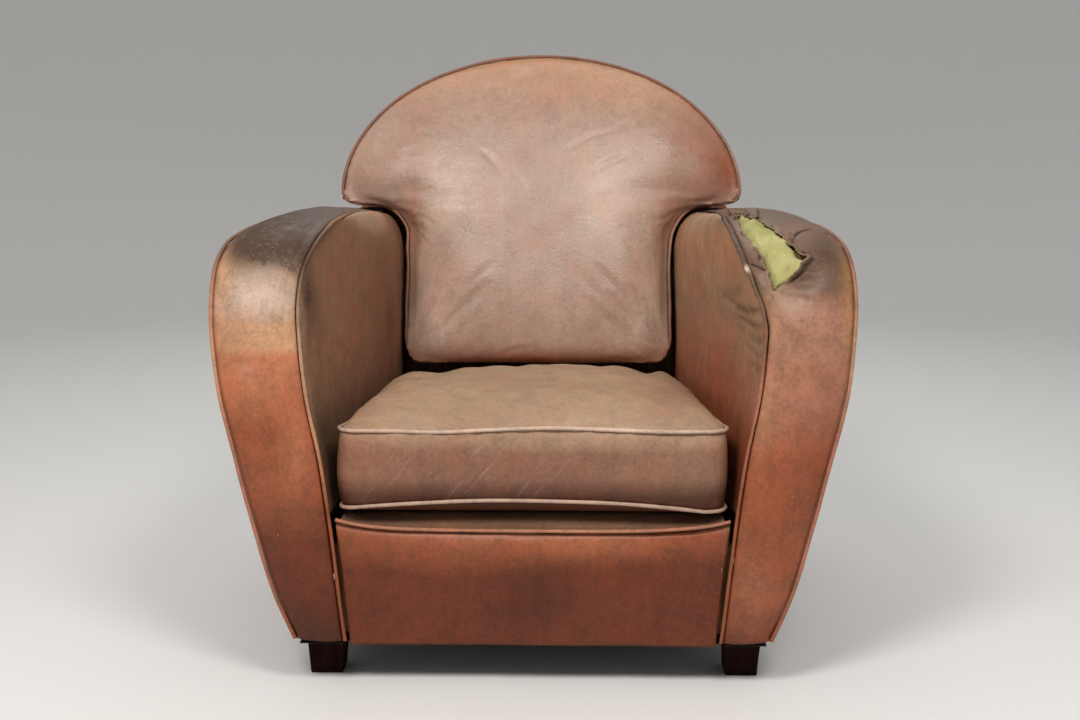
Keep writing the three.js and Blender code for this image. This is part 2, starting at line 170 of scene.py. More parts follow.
def spots(points, places):
    # soft patches: each is a middle, a reach along x, y and z, and an amount
    total = np.zeros(len(points))
    for middle, reach, amount in places:
        far = ((points - np.array(middle)) / np.array(reach)) ** 2
        total += amount * np.exp(-far.sum(axis=1))
    return total


def gridPiece(name, columns, rows, surface):
    # a flat grid laid over surface(u, v)
    deselectAll()
    bpy.ops.mesh.primitive_grid_add(x_subdivisions=columns, y_subdivisions=rows, size=1)
    piece = named(bpy.context.object, name)
    flat = getPoints(piece)
    setPoints(piece, surface(flat[:, 0] + 0.5, flat[:, 1] + 0.5))
    return piece


def flatGrid(name, columns, rows):
    return gridPiece(name, columns, rows, lambda u, v: np.stack([u, v, 0 * u], axis=1))


def thicken(piece, thickness=0.0016):
    applyModifier(piece, 'SOLIDIFY', thickness=thickness, offset=-1, use_even_offset=False)
    smooth(piece)


def tube(name, points, closed, seed):
    # leather-covered cord through the points, a little uneven along its length
    data = bpy.data.curves.new(name, 'CURVE')
    data.dimensions = '3D'
    data.bevel_depth = cord['radius']
    data.bevel_resolution = 2
    data.use_fill_caps = True
    data.twist_mode = 'MINIMUM'
    line = data.splines.new('POLY')
    line.points.add(len(points) - 1)
    uneven = np.stack([ripple(points, 0.06, seed + k) for k in range(3)], axis=1) * cord['slack']
    placed = np.hstack([points + uneven, np.ones((len(points), 1))])
    line.points.foreach_set('co', placed.ravel())
    line.points.foreach_set('radius', 1 + 0.05 * ripple(points, 0.025, seed + 5))
    line.use_cyclic_u = closed
    curve = bpy.data.objects.new(name, data)
    bpy.context.collection.objects.link(curve)
    pick(curve)
    bpy.ops.object.convert(target='MESH')
    piece = named(bpy.context.object, name)
    smooth(piece)
    return piece


def putOnSide(piece, sign):
    # a sheet laid out for the right side stays there, or is mirrored over to the left
    setPoints(piece, getPoints(piece) * np.array([sign, 1, 1]))


class Wire:
    # a socket that adds its own Math nodes
    def __init__(self, board, socket):
        self.board = board
        self.socket = socket

    def calc(self, operation, first, second):
        return self.board.node('ShaderNodeMath', {'operation': operation}, {0: first, 1: second})

    def __add__(self, other):
        return self.calc('ADD', self, other)

    def __radd__(self, other):
        return self.calc('ADD', other, self)

    def __sub__(self, other):
        return self.calc('SUBTRACT', self, other)

    def __rsub__(self, other):
        return self.calc('SUBTRACT', other, self)

    def __mul__(self, other):
        return self.calc('MULTIPLY', self, other)


class Board:
    # one material's node tree
    def __init__(self, name):
        self.material = bpy.data.materials.new(name)
        self.material.use_nodes = True
        self.nodes = self.material.node_tree.nodes
        self.links = self.material.node_tree.links
        self.shader = self.nodes['Principled BSDF']

    def node(self, kind, settings, sockets, output=0):
        made = self.nodes.new(kind)
        for key, value in settings.items():
            setattr(made, key, value)
        for key, value in sockets.items():
            self.plug(made.inputs[key], value)
        return Wire(self, made.outputs[output])

    def plug(self, socket, value):
        if isinstance(value, Wire):
            self.links.new(value.socket, socket)
        elif isinstance(value, tuple) and len(value) == 3 and socket.type == 'RGBA':
            socket.default_value = (*value, 1)
        else:
            socket.default_value = value

    def places(self, stretch=(1, 1, 1), turn=(0, 0, 0)):
        spot = self.node('ShaderNodeTexCoord', {}, {}, 'Object')
        if turn != (0, 0, 0):
            spot = self.node('ShaderNodeMapping', {}, {'Vector': spot, 'Rotation': turn})
        return self.node('ShaderNodeMapping', {}, {'Vector': spot, 'Scale': stretch})

    def noise(self, scale, detail=3.0, places=None, roughness=0.55, distortion=0.0):
        return self.node('ShaderNodeTexNoise', {}, {
            'Vector': places or self.places(), 'Scale': scale, 'Detail': detail,
            'Roughness': roughness, 'Distortion': distortion}, 'Fac')

    def cells(self, scale, feature='F1', places=None):
        return self.node('ShaderNodeTexVoronoi', {'feature': feature}, {
            'Vector': places or self.places(), 'Scale': scale}, 'Distance')

    def between(self, value, low, high):
        return self.node('ShaderNodeMapRange', {'interpolation_type': 'SMOOTHSTEP'}, {
            'Value': value, 'From Min': low, 'From Max': high})

    def mixColors(self, amount, first, second, blendType='MIX'):
        return self.node('ShaderNodeMix', {'data_type': 'RGBA', 'blend_type': blendType}, {
            0: amount, 6: first, 7: second}, 2)

    def mask(self, name):
        return self.node('ShaderNodeAttribute', {'attribute_name': name}, {}, 'Fac')

    def bump(self, height, strength, distance, under=None):
        sockets = {'Height': height, 'Strength': strength, 'Distance': distance}
        if under:
            sockets['Normal'] = under
        return self.node('ShaderNodeBump', {}, sockets)

    def finish(self, **inputs):
        for key, value in inputs.items():
            self.plug(self.shader.inputs[key.replace('_', ' ')], value)
        return self.material


def tone(red, green, blue):  # a colour chip of 0 to 255 turned into light amounts
    chip = np.array([red, green, blue]) / 255
    return tuple(float(v) for v in np.where(chip <= 0.04045, chip / 12.92, ((chip + 0.055) / 1.055) ** 2.4))


tones = {
    # paleHideAndSheen is the pale hide of scratches, rubs and chips, and also paints highlights on the back,
    # the left arm and the cushion pipings
    'paleHideAndSheen': tone(206, 182, 164), 'pinkTan': tone(163, 132, 115), 'tan': tone(182, 137, 104),
    'rose': tone(160, 106, 83), 'copper': tone(172, 108, 76), 'russet': tone(141, 78, 49),
    'redBrown': tone(102, 48, 26), 'darkBrown': tone(74, 35, 17), 'cocoa': tone(134, 95, 77),
    'darkCocoa': tone(76, 43, 28), 'umber': tone(104, 78, 60), 'olive': tone(142, 104, 80),
    'taupe': tone(158, 128, 103), 'sand': tone(166, 135, 99), 'greyBrown': tone(80, 60, 46),
    'soot': tone(70, 56, 46), 'dirt': tone(70, 50, 38), 'sage': tone(166, 150, 124),
    'blush': tone(163, 115, 93), 'shadow': tone(20, 13, 9), 'amber': tone(182, 128, 82),
}


def tint(piece, heights, patches=(), wander=0.012, seed=3):
    # colour by height, then soft patches of other tones over it
    points = getPoints(piece)
    level = points[:, 2] + wander * ripple(points, 0.16, seed)
    stops = [height for height, _ in heights]
    colors = np.stack([np.interp(level, stops, [tones[key][k] for _, key in heights])
                       for k in range(3)], axis=1)
    uneven = 1 + 0.25 * ripple(points, 0.05, seed + 1)
    for middle, reach, key, amount in patches:
        share = np.clip(spots(points, [(middle, reach, amount)]) * uneven, 0, 1)[:, None]
        colors = blend(colors, np.array(tones[key]), share)
    layer = piece.data.color_attributes.new(name='tint', type='FLOAT_COLOR', domain='POINT')
    filled = np.hstack([colors, np.ones((len(colors), 1))]).astype(np.float32)
    layer.data.foreach_set('color', filled.ravel())


def soil(piece, patches, rubs=(), drawn=(), seed=9):
    # grime and rubbed places, and painted highlight lines along creases, as masks for the leather
    points = getPoints(piece)
    uneven = 1 + 0.3 * ripple(points, 0.04, seed)
    paint(piece, 'grime', spots(points, patches) * uneven)
    paint(piece, 'rub', spots(points, rubs) * uneven)
    paint(piece, 'drawn', spots(points, drawn) * uneven)


def lineMask(points, runs, width):
    # 1 along polylines through the given places, fading over the width
    mask = np.zeros(len(points))
    for run in runs:
        run = [np.array(place, dtype=float) for place in run]
        for first, second in zip(run, run[1:]):
            span = second - first
            share = np.clip((points - first) @ span / (span @ span), 0, 1)
            gap = np.linalg.norm(points - first - share[:, None] * span, axis=1)
            mask = np.maximum(mask, np.exp(-(gap / width) ** 4))
    return mask


# The seams of the right arm run from the floor up its front and then back over its top, in rows 0 to 13.
lastRow = 13
innerSeam = [(0.246, -0.411, 0.063), (0.253, -0.415, 0.130), (0.262, -0.418, 0.222), (0.273, -0.420, 0.310),
             (0.287, -0.420, 0.385), (0.294, -0.419, 0.455), (0.296, -0.415, 0.505), (0.292, -0.400, 0.546),
             (0.283, -0.362, 0.577), (0.273, -0.290, 0.599), (0.265, -0.180, 0.606), (0.262, -0.020, 0.600),
             (0.259, 0.140, 0.588), (0.262, 0.340, 0.578)]
outerSeam = [(0.312, -0.409, 0.065), (0.337, -0.415, 0.130), (0.361, -0.419, 0.225), (0.382, -0.420, 0.315),
             (0.399, -0.420, 0.395), (0.406, -0.419, 0.465), (0.407, -0.412, 0.515), (0.405, -0.393, 0.552),
             (0.402, -0.355, 0.574), (0.399, -0.280, 0.586), (0.394, -0.170, 0.590), (0.386, -0.010, 0.583),
             (0.370, 0.160, 0.574), (0.336, 0.392, 0.566)]
turnRow = 5          # the seams turn back over the arm here
insideEndRow = 12    # and the inner one goes in behind the back here
bandCrown = 0.11     # how far the band bulges, as a share of its width
sagRows = [5.4, 6.0, 6.6, 7.3, 8.1, 8.9, 9.8, 10.8]
sagDepths = [0, 0.006, 0.014, 0.018, 0.017, 0.013, 0.006, 0]


def seam(stops, rows):
    return splineThrough(stops, rows / lastRow)


def seamAt(stops, height, axis=0):  # where the front part of an arm seam is at a height
    low = np.array(stops)[:turnRow + 1]
    return np.interp(height, low[:, 2], low[:, axis])


def innerEdge(rows, torn=False):
    # the right arm's inner seam has sagged in towards the seat where the band is torn
    line = seam(innerSeam, rows)
    if not torn:
        return line
    sag = np.interp(rows, sagRows, sagDepths)[:, None]
    return line - sag * np.array([1, 0, 0.25])


def onBand(rows, across, torn=False, inset=0.0034, sink=0.0):
    inner, outer = innerEdge(rows, torn), seam(outerSeam, rows)
    step = 0.02
    slope = (innerEdge(rows + step, torn) - innerEdge(rows - step, torn)
             + seam(outerSeam, rows + step) - seam(outerSeam, rows - step))
    width = np.linalg.norm(outer - inner, axis=1)
    share = blend(inset, width - 0.1 * inset, across) / width   # the outer edge runs under its piping
    out = unit(np.cross(outer - inner, slope))
    edge = np.minimum(share, 1 - share) * width
    rise = bandCrown * width * 4 * share * (1 - share) - 0.005 * np.exp(-(edge / 0.0045) ** 2) - sink
    return inner + (outer - inner) * share[:, None] + out * rise[:, None], out, width


def padSeamY(height):  # the back's face leans with height
    return 0.050 + (height - 0.380) * 0.38


padSide = [(0, .360), (.120, .361), (.184, .366), (.201, .384), (.206, .430), (.206, .520), (.213, .562),
           (.234, .590), (.262, .600), (.298, .603), (.315, .609), (.321, .620)]
arch = {'middle': 0.620, 'half': 0.321, 'rise': 0.219, 'rearHalf': 0.300, 'rearRise': 0.203, 'rearY': 0.402}


def archPoint(along, half, rise, dip):
    turn = np.radians(blend(-dip, 180 + dip, along))
    return np.stack([half * np.cos(turn), np.zeros_like(turn), arch['middle'] + rise * np.sin(turn)], axis=1)


def padOutline(count=240):
    # the pad's edge, all the way round from the middle of its foot
    low = splineThrough(np.array(padSide), np.linspace(0, 1, count))
    turn = np.linspace(0, math.pi / 2, count // 2)[1:]
    high = np.stack([arch['half'] * np.cos(turn), arch['middle'] + arch['rise'] * np.sin(turn)], axis=1)
    half = np.vstack([low, high])
    other = half[-2:0:-1] * np.array([-1, 1])
    ring = np.vstack([half, other])
    return np.stack([ring[:, 0], padSeamY(ring[:, 1]), ring[:, 1]], axis=1)


def evenly(points, spacing, closed=False):
    # the same line with its points evenly spaced
    if closed:
        points = np.vstack([points, points[:1]])
    run = np.concatenate([[0], np.cumsum(np.linalg.norm(np.diff(points, axis=0), axis=1))])
    count = max(8, int(run[-1] / spacing))
    at = np.linspace(0, run[-1], count + 1)
    line = np.stack([np.interp(at, run, points[:, k]) for k in range(3)], axis=1)
    return line[:-1] if closed else line


def creased(points, normals, folds):
    # folds in the leather, each from one place to another, with a width and a depth
    lift = np.zeros(len(points))
    for start, end, width, depth in folds:
        a, b = np.array(start), np.array(end)
        along = b - a
        length = np.linalg.norm(along)
        ahead = along / length
        t = np.clip((points - a) @ along / length ** 2, 0, 1)
        away = (points - a) - t[:, None] * along
        side = unit(np.cross(normals, ahead))
        across = (away * side).sum(axis=1) - 0.07 * length * np.sin(math.pi * t)
        beyond = away @ ahead
        off = (away * normals).sum(axis=1)
        fade = np.sin(math.pi * np.clip(t, 0.03, 0.97)) ** 0.6
        fade *= np.exp(-(beyond / width) ** 2) * np.exp(-(off / 0.05) ** 2)
        lift += fade * depth * (0.5 * np.exp(-((across - 1.8 * width) / width) ** 2)
                                - np.exp(-(across / width) ** 2))
    return points + normals * lift[:, None]


def faceAway(piece, middle):
    # turns an open sheet's faces away from a point inside the chair
    outward = getPoints(piece) - np.array(middle)
    if (getNormals(piece) * outward).sum() < 0:
        piece.data.flip_normals()


def soften(piece, size, amount, seed, folds=()):
    # low waves and folds over a sheet
    points, normals = getPoints(piece), getNormals(piece)
    points = points + normals * (amount * ripple(points, size, seed))[:, None]
    points = points + normals * (0.25 * amount * ripple(points, size / 4, seed + 1))[:, None]
    setPoints(piece, creased(points, normals, folds))


def finishPiece(piece, material, slotName, *nodes):
    named(piece, piece.name)
    piece.data.materials.clear()
    piece.data.materials.append(material)
    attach(piece, "root")
    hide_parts(*nodes)


def leather(name, look):
    board = Board(name)
    grime, rub, dark = board.mask('grime'), board.mask('rub'), board.mask('dark')
    base = board.node('ShaderNodeAttribute', {'attribute_name': 'tint'}, {}, 'Color')
    cloud = board.between(board.noise(7, 4), 0.34, 0.66)
    mottle = board.between(board.noise(34, 6, roughness=0.7), 0.33, 0.67)
    speck = board.between(board.noise(170, 5, roughness=0.85), 0.36, 0.64)
    streak = board.between(board.noise(9, 4, board.places((9, 9, 1.1))), 0.36, 0.64)
    level = (1 + (cloud - 0.5) * look['cloud'] + (mottle - 0.5) * look['mottle']
             + (speck - 0.5) * look['speck'] + (streak - 0.5) * look['streak'])
    base = board.mixColors(1.0, base, level, 'MULTIPLY')
    blush = board.noise(17, 5, roughness=0.62)
    redder = board.between(blush, 0.48, 0.62) * look['warm']
    base = board.mixColors(redder, base, (1.04, 0.76, 0.64), 'MULTIPLY')
    greener = board.between(1 - blush, 0.50, 0.64) * look['warm']
    base = board.mixColors(greener, base, (0.90, 0.98, 0.84), 'MULTIPLY')
    # fine pale scratches in three directions
    scratch = 0
    for turn, stretch in (((0.3, 0.5, 0.7), (9, 120, 30)),
                          ((1.1, 0.7, 2.1), (110, 8, 26)),
                          ((0.6, 1.9, 0.4), (8, 30, 130))):
        scratch = scratch + board.between(board.noise(1.6, 3, board.places(stretch, turn)), 0.73, 0.80)
    patchy = board.between(board.noise(11, 3), 0.50, 0.70)
    scratches = scratch * patchy * look['scratch']
    base = board.mixColors(scratches, base, look['pale'])
    # painted highlight: pale lines along the cushion's creases, which also raise the bump
    drawn = board.places((6, 6, 95), (0, look['lineTurn'], 0))
    creaseHighlightLines = board.between(board.noise(2.2, 3, drawn), 0.60, 0.72) * board.mask('drawn') * look['lines']
    base = board.mixColors(creaseHighlightLines, base, look['pale'])
    # a net of cracks where the finish is rubbed through
    warp = board.places((1, 1, 1), (0.4, 0.2, 0.1))
    stray = board.node('ShaderNodeTexNoise', {}, {'Vector': warp, 'Scale': 40.0, 'Detail': 2.0}, 'Color')
    warp = board.node('ShaderNodeVectorMath', {'operation': 'ADD'}, {0: warp, 1: stray})
    net = 1 - board.between(board.cells(130, 'DISTANCE_TO_EDGE', warp), 0.0, 0.07)
    rubbed = rub * (0.45 + board.between(mottle, 0.35, 0.65) * 0.55)
    base = board.mixColors(rubbed * 0.75, base, look['pale'])
    base = board.mixColors(rub * net * 0.35, base, tones['umber'])
    # grime lies in blotches with pale flecks in it
    blotch = board.between(mottle + (speck - 0.5) * 0.9, 0.10, 0.75)
    dirty = board.between(grime * (0.45 + blotch * 0.75), 0.12, 0.85)
    base = board.mixColors(dirty * 0.88, base, look['dirt'])
    fleck = board.between(board.noise(150, 5, roughness=0.85), 0.56, 0.66)
    base = board.mixColors(fleck * grime * 0.55, base, look['fleck'])
    base = board.mixColors(board.mask('edge') * 0.75, base, tones['taupe'])
    base = board.mixColors(dark, base, tones['shadow'])
    grain = board.cells(620, 'F1')
    pores = board.noise(900, 2)
    wrinkle = board.cells(95, 'DISTANCE_TO_EDGE', board.places((1, 1, 1.6), (0.2, 0.7, 0.3)))
    height = grain * 0.35 + pores * 0.30 + mottle * 0.35 - net * rub * 0.45
    height = height + scratches * 0.4 + creaseHighlightLines * 0.8
    normal = board.bump(height, look['bump'], 0.0011)
    normal = board.bump(board.between(wrinkle, 0.0, 0.16) + cloud * 0.8, look['wrinkle'], 0.0012, normal)
    rough = (look['rough'] + (mottle - 0.5) * 0.12 + (speck - 0.5) * 0.10 + dirty * 0.22
             - rub * 0.03 + dark * 0.3)
    return board.finish(Base_Color=base, Roughness=rough, Normal=normal, Specular_IOR_Level=look['gloss'])


plainHide = {
    'cloud': 0.12, 'mottle': 0.22, 'speck': 0.26, 'streak': 0.06, 'warm': 0.34, 'scratch': 0.6,
    'pale': tones['paleHideAndSheen'], 'dirt': tones['dirt'], 'fleck': tones['sand'],
    'bump': 0.30, 'wrinkle': 0.10, 'rough': 0.46, 'gloss': 0.30, 'lineTurn': 0.8, 'lines': 0.0,
}
print("making materials")
leathers = {
    'back': leather('wornBackLeather', {
        **plainHide, 'cloud': 0.08, 'mottle': 0.12, 'speck': 0.17, 'warm': 0.28, 'scratch': 0.5,
        'rough': 0.38, 'gloss': 0.55}),
    'cushion': leather('wornCushionLeather', {
        **plainHide, 'warm': 0.26, 'rough': 0.52, 'mottle': 0.17, 'lines': 0.6, 'lineTurn': 0.85,
        'gloss': 0.24}),
    'arm': leather('wornArmLeather', {
        **plainHide, 'mottle': 0.26, 'warm': 0.32, 'streak': 0.08, 'rough': 0.42, 'scratch': 0.85,
        'speck': 0.30}),
    'side': leather('wornSideLeather', {**plainHide, 'streak': 0.09, 'rough': 0.54, 'gloss': 0.24}),
    'piping': leather('wornPipingLeather', {**plainHide, 'mottle': 0.28, 'rough': 0.50, 'wrinkle': 0.05}),
}


def finishLeather(piece, kind, *nodes):
    finishPiece(piece, leathers[kind], kind + '_leather', *nodes)


def woodMaterial(name, light, dark, rough, gloss=0.5):
    board = Board(name)
    grain = board.noise(14, 6, board.places((8, 8, 0.7)), roughness=0.6, distortion=0.5)
    rings = board.noise(60, 3, board.places((10, 10, 0.5)))
    base = board.mixColors(board.between(grain, 0.3, 0.7), dark, light)
    base = board.mixColors(board.between(rings, 0.55, 0.75) * 0.5, base, dark)
    scuff = board.between(board.noise(70, 5, roughness=0.75), 0.66, 0.74)
    base = board.mixColors(scuff * 0.45, base, tones['umber'])
    normal = board.bump(grain * 0.6 + rings * 0.4, 0.3, 0.0006)
    return board.finish(Base_Color=base, Roughness=rough + (grain - 0.5) * 0.25 + scuff * 0.15, Normal=normal,
                        Specular_IOR_Level=gloss)


def steelMaterial():
    board = Board('dulledSpringSteel')
    patch = board.noise(90, 5, roughness=0.7)
    rust = board.between(patch, 0.55, 0.72)
    base = board.mixColors(rust, tone(120, 118, 114), tone(96, 62, 44))
    normal = board.bump(patch, 0.2, 0.0004)
    return board.finish(Base_Color=base, Roughness=0.34 + rust * 0.4, Metallic=1 - rust * 0.7, Normal=normal)


def clothMaterial(name, thread, gap, weave):
    board = Board(name)
    warp = board.node('ShaderNodeTexWave', {'wave_type': 'BANDS', 'bands_direction': 'X'}, {
        'Vector': board.places(), 'Scale': weave}, 'Fac')
    weft = board.node('ShaderNodeTexWave', {'wave_type': 'BANDS', 'bands_direction': 'Y'}, {
        'Vector': board.places(), 'Scale': weave}, 'Fac')
    cross = warp * weft
    fuzz = board.noise(160, 4)
    base = board.mixColors(board.between(cross + (fuzz - 0.5) * 0.4, 0.05, 0.6), gap, thread)
    normal = board.bump(cross + fuzz * 0.5, 0.5, 0.0006)
    return board.finish(Base_Color=base, Roughness=0.86 + (fuzz - 0.5) * 0.15, Normal=normal)


def foamMaterial():
    board = Board('tornYellowFoam')
    patch = board.noise(28, 4)
    pit = board.noise(300, 5, roughness=0.75)
    hole = board.cells(420, 'F1')
    base = board.mixColors(board.between(patch, 0.35, 0.68), tone(190, 184, 120), tone(208, 200, 140))
    base = board.mixColors(board.mask('green') * 0.7, base, tone(134, 148, 74))
    base = board.mixColors(board.between(pit, 0.60, 0.74) * 0.6, base, tone(150, 142, 74))
    base = board.mixColors(board.mask('dark'), base, tone(58, 44, 24))
    crumb = board.noise(120, 6, roughness=0.8)
    base = board.mixColors(board.between(crumb, 0.56, 0.70) * 0.4, base, tone(236, 232, 184))
    normal = board.bump(pit * 1.2 + hole * 0.5 + crumb * 2, 0.9, 0.0026)
    return board.finish(Base_Color=base, Roughness=0.93 + (pit - 0.5) * 0.1, Normal=normal,
                        Specular_IOR_Level=0.15)


finishes = {
    'footWood': woodMaterial('darkFootWood', tone(38, 13, 8), tone(16, 5, 4), 0.65, 0.06),
    'frameWood': woodMaterial('plainFrameWood', tone(176, 142, 100), tone(132, 98, 64), 0.62),
    'steel': steelMaterial(),
    'webbing': clothMaterial('juteWebbing', tone(156, 126, 84), tone(84, 62, 38), 130),
    'blackCloth': clothMaterial('blackUnderCloth', tone(40, 38, 37), tone(14, 13, 13), 260),
    'foam': foamMaterial(),
}

armBand = {
    'columns': 58, 'rows': {'left': 300, 'right': 420},   # grid over the band
    'tearShare': (0.24, 0.78), 'tearSpan': (6.2, 10.1),   # rows are closer together along the tear
    'ridgeIn': 0.0165, 'ridgeHeight': 0.0019,   # the flange felt under the leather beside the inner piping
    'waves': 0.0011,
    # the tear: how far along the band, and its inner and outer edges as a share of the width
    'tearRows': [6.45, 6.60, 6.72, 6.90, 7.05, 7.26, 7.48, 7.78, 8.05, 8.40, 8.85, 9.15, 9.50, 9.82],
    'tearInner': [0.13, 0.13, 0.15, 0.15, 0.15, 0.16, 0.15, 0.125, 0.11, 0.08, 0.07, 0.075, 0.09, 0.12],
    'tearOuter': [0.16, 0.21, 0.30, 0.42, 0.50, 0.56, 0.47, 0.42, 0.39, 0.33, 0.30, 0.25, 0.21, 0.15],
    'curl': 0.0042,                            # how far the torn edge stands up
    'lip': 0.0046, 'trench': 0.0030,           # a raised lip and the hollow beside it, on the lower side
    'innerSink': 0.0022, 'flapHollow': 0.0050,
}


def raggedEdge(rows, stops, seed, amount):
    rng = np.random.default_rng(seed)
    edge = np.interp(rows, armBand['tearRows'], stops)
    for knots, part in ((18, 1.0), (55, 0.6)):
        at = np.linspace(6, 10.5, knots * 2)
        edge = edge + amount * part * np.interp(rows, at, rng.uniform(-1, 1, knots * 2))
    return edge


def tearEdges(rows):
    inner = raggedEdge(rows, armBand['tearInner'], 21, 0.012)
    outer = raggedEdge(rows, armBand['tearOuter'], 22, 0.022)
    return inner, np.maximum(outer, inner + 0.02)


def tearDepth(rows, across, width):
    # distance in from the torn edge: above 0 in the hole, below 0 on the leather
    inner, outer = tearEdges(rows)
    ends = np.minimum(rows - armBand['tearRows'][0], armBand['tearRows'][-1] - rows) * 0.05
    return np.minimum(np.minimum((across - inner) * width, (outer - across) * width), ends)


def snapToTear(rows, across):
    # grid lines near the torn edge are drawn onto it
    inner, outer = tearEdges(rows)
    cell = 0.6 / armBand['columns']
    inside = (rows > armBand['tearRows'][0]) & (rows < armBand['tearRows'][-1])
    for edge in (inner, outer):
        near = inside & (np.abs(across - edge) < cell)
        across = np.where(near, edge, across)
    return across


def curledFlap(rows, across, heading, length, width, turn, seed):
    # a small tongue of leather rooted on the band, rolled up and back from its tip
    deselectAll()
    bpy.ops.mesh.primitive_grid_add(x_subdivisions=14, y_subdivisions=8, size=1)
    flap = bpy.context.object
    flat = getPoints(flap)
    out, side = flat[:, 0] + 0.5, flat[:, 1]
    root, up, _ = onBand(np.array([rows]), np.array([across]), True)
    ahead, _, _ = onBand(np.array([rows + 0.05]), np.array([across]), True)
    along = unit(ahead - root)
    sideways = unit(np.cross(along, up))
    toward = along * math.cos(heading) + sideways * math.sin(heading)
    level = np.cross(up, toward)
    taper = (1 - 0.55 * out) * (1 + 0.25 * np.sin(9 * out + seed))
    angle = turn * out ** 1.3
    radius = length / max(abs(turn), 0.2)
    forward = radius * np.sin(angle)
    lift = radius * (1 - np.cos(angle)) + 0.0007
    ragged = 0.0010 * ripple(flat, 0.22, seed)
    points = (root + toward * (forward + ragged * out)[:, None] + up * (lift + 0.5 * ragged)[:, None]
              + level * (side * width * taper)[:, None])
    setPoints(flap, points)
    thicken(flap, 0.0013)
    return flap


def makeBand(side):
    piece = flatGrid(side + 'ArmBand', armBand['columns'], armBand['rows'][side])
    flat = getPoints(piece)
    torn = side == 'right'
    across, rows = flat[:, 0], flat[:, 1] * lastRow
    if torn:
        rows = np.interp(flat[:, 1], [0, *armBand['tearShare'], 1], [0, *armBand['tearSpan'], lastRow])
        across = snapToTear(rows, across)
    points, out, width = onBand(rows, across, torn)
    fromInner = across * width
    ridge = np.exp(-((fromInner - armBand['ridgeIn']) / 0.0022) ** 2)
    ridge *= ramp(rows, 5.2, 6.4) * (1 - ramp(rows, 8.6, 9.6))
    lift = armBand['ridgeHeight'] * ridge
    lift += armBand['waves'] * ripple(points, 0.11, 31 if torn else 32) * np.sin(math.pi * across) ** 0.5
    lift += 0.00035 * ripple(points, 0.018, 33) * np.sin(math.pi * across) ** 0.5
    if torn:
        depth = tearDepth(rows, across, width)
        outside = np.clip(-depth, 0, None)
        outerSide = ramp(across, 0.2, 0.4)
        lower = 1 - ramp(rows, 7.2, 7.5)
        stand = armBand['curl'] * np.exp(-(outside / 0.006)) * outerSide
        stand *= 0.45 + 0.35 * ripple(points, 0.012, 41)
        lift += np.where(depth > -0.03, np.clip(stand, -0.001, 0.006), 0)
        lip = np.exp(-(outside / 0.0026) ** 4)
        trench = np.exp(-((outside - 0.0068) / 0.0034) ** 2)
        low = lower * outerSide
        lift += low * ramp(rows, 6.45, 6.7) * (armBand['lip'] * lip - armBand['trench'] * trench)
        lift -= armBand['innerSink'] * np.exp(-(outside / 0.010)) * (1 - outerSide)
        hollow = np.exp(-((rows - 6.62) / 0.20) ** 2 - ((across - 0.46) / 0.13) ** 2)
        lift -= armBand['flapHollow'] * hollow   # the dip below the raised flap
    points = points + out * lift[:, None]
    setPoints(piece, points)
    if torn:
        # painted shadow in the hollow beside the raised lip on the tear's lower side
        shade = low * ramp(rows, 6.5, 6.7) * (depth < 0)
        paint(piece, 'dark', shade * trench * (0.8 + 0.2 * ripple(points, 0.012, 44)))
        paint(piece, 'edge', np.exp(-outside / 0.0022) * (0.7 + 0.3 * ripple(points, 0.01, 43)))
        corners = np.empty(len(piece.data.loops), dtype=int)
        piece.data.loops.foreach_get('vertex_index', corners)
        inHole = (depth[corners].reshape(-1, 4) > -1e-6).all(axis=1)
        pick(piece)
        bpy.ops.object.mode_set(mode='EDIT')
        bpy.ops.mesh.select_mode(type='FACE')
        bpy.ops.mesh.select_all(action='DESELECT')
        bpy.ops.object.mode_set(mode='OBJECT')
        piece.data.polygons.foreach_set('select', inHole)
        bpy.ops.object.mode_set(mode='EDIT')
        bpy.ops.mesh.delete(type='FACE')
        bpy.ops.object.mode_set(mode='OBJECT')
    else:
        putOnSide(piece, -1)
    faceAway(piece, ((0.32 if torn else -0.32), 0.05, 0.35))
    normals = getNormals(piece)
    setPoints(piece, creased(getPoints(piece), normals, bandFolds[side]))
    thicken(piece)
    return piece


bandFolds = {
    'left': [((-0.300, -0.419, 0.470), (-0.345, -0.418, 0.500), 0.0016, 0.0007),
             ((-0.330, -0.420, 0.505), (-0.372, -0.416, 0.478), 0.0016, 0.0006),
             ((-0.355, -0.424, 0.330), (-0.340, -0.424, 0.352), 0.0018, 0.0007)],
    'right': [((0.38095, -0.330, 0.583), (0.392, -0.300, 0.590), 0.0022, 0.0030),
              ((0.392, -0.300, 0.590), (0.388, -0.262, 0.594), 0.0020, 0.0020),
              ((0.315, -0.420, 0.520), (0.360, -0.418, 0.508), 0.0030, 0.0010)],
}
print("making the arm bands")
leftBand = makeBand('left')
tint(leftBand,
     [(0.06, 'darkBrown'), (0.123, 'redBrown'), (0.19, 'redBrown'), (0.26, 'russet'), (0.335, 'russet'),
      (0.413, 'copper'), (0.437, 'copper'), (0.452, 'tan'), (0.48, 'tan'), (0.515, 'pinkTan'),
      (0.55, 'taupe'), (0.575, 'greyBrown')],
     [((-0.4, -0.42, 0.45), (0.014, 0.05, 0.05), 'copper', 0.6),
      # painted highlight: the pale patch on the front of the crest, over rubbed, paler wear
      ((-0.345, -0.42, 0.518), (0.035, 0.04, 0.026), 'paleHideAndSheen', 0.6),
      ((-0.345, -0.37, 0.575), (0.05, 0.08, 0.022), 'greyBrown', 1.0),
      ((-0.395, -0.4, 0.55), (0.016, 0.06, 0.05), 'tan', 0.75),
      ((-0.31, 0.05, 0.6), (0.12, 0.2, 0.05), 'umber', 0.6),
      ((-0.3, -0.42, 0.33), (0.02, 0.05, 0.06), 'copper', 0.5),
      ((-0.29, -0.42, 0.1), (0.05, 0.05, 0.05), 'darkBrown', 0.5)], wander=0.007)
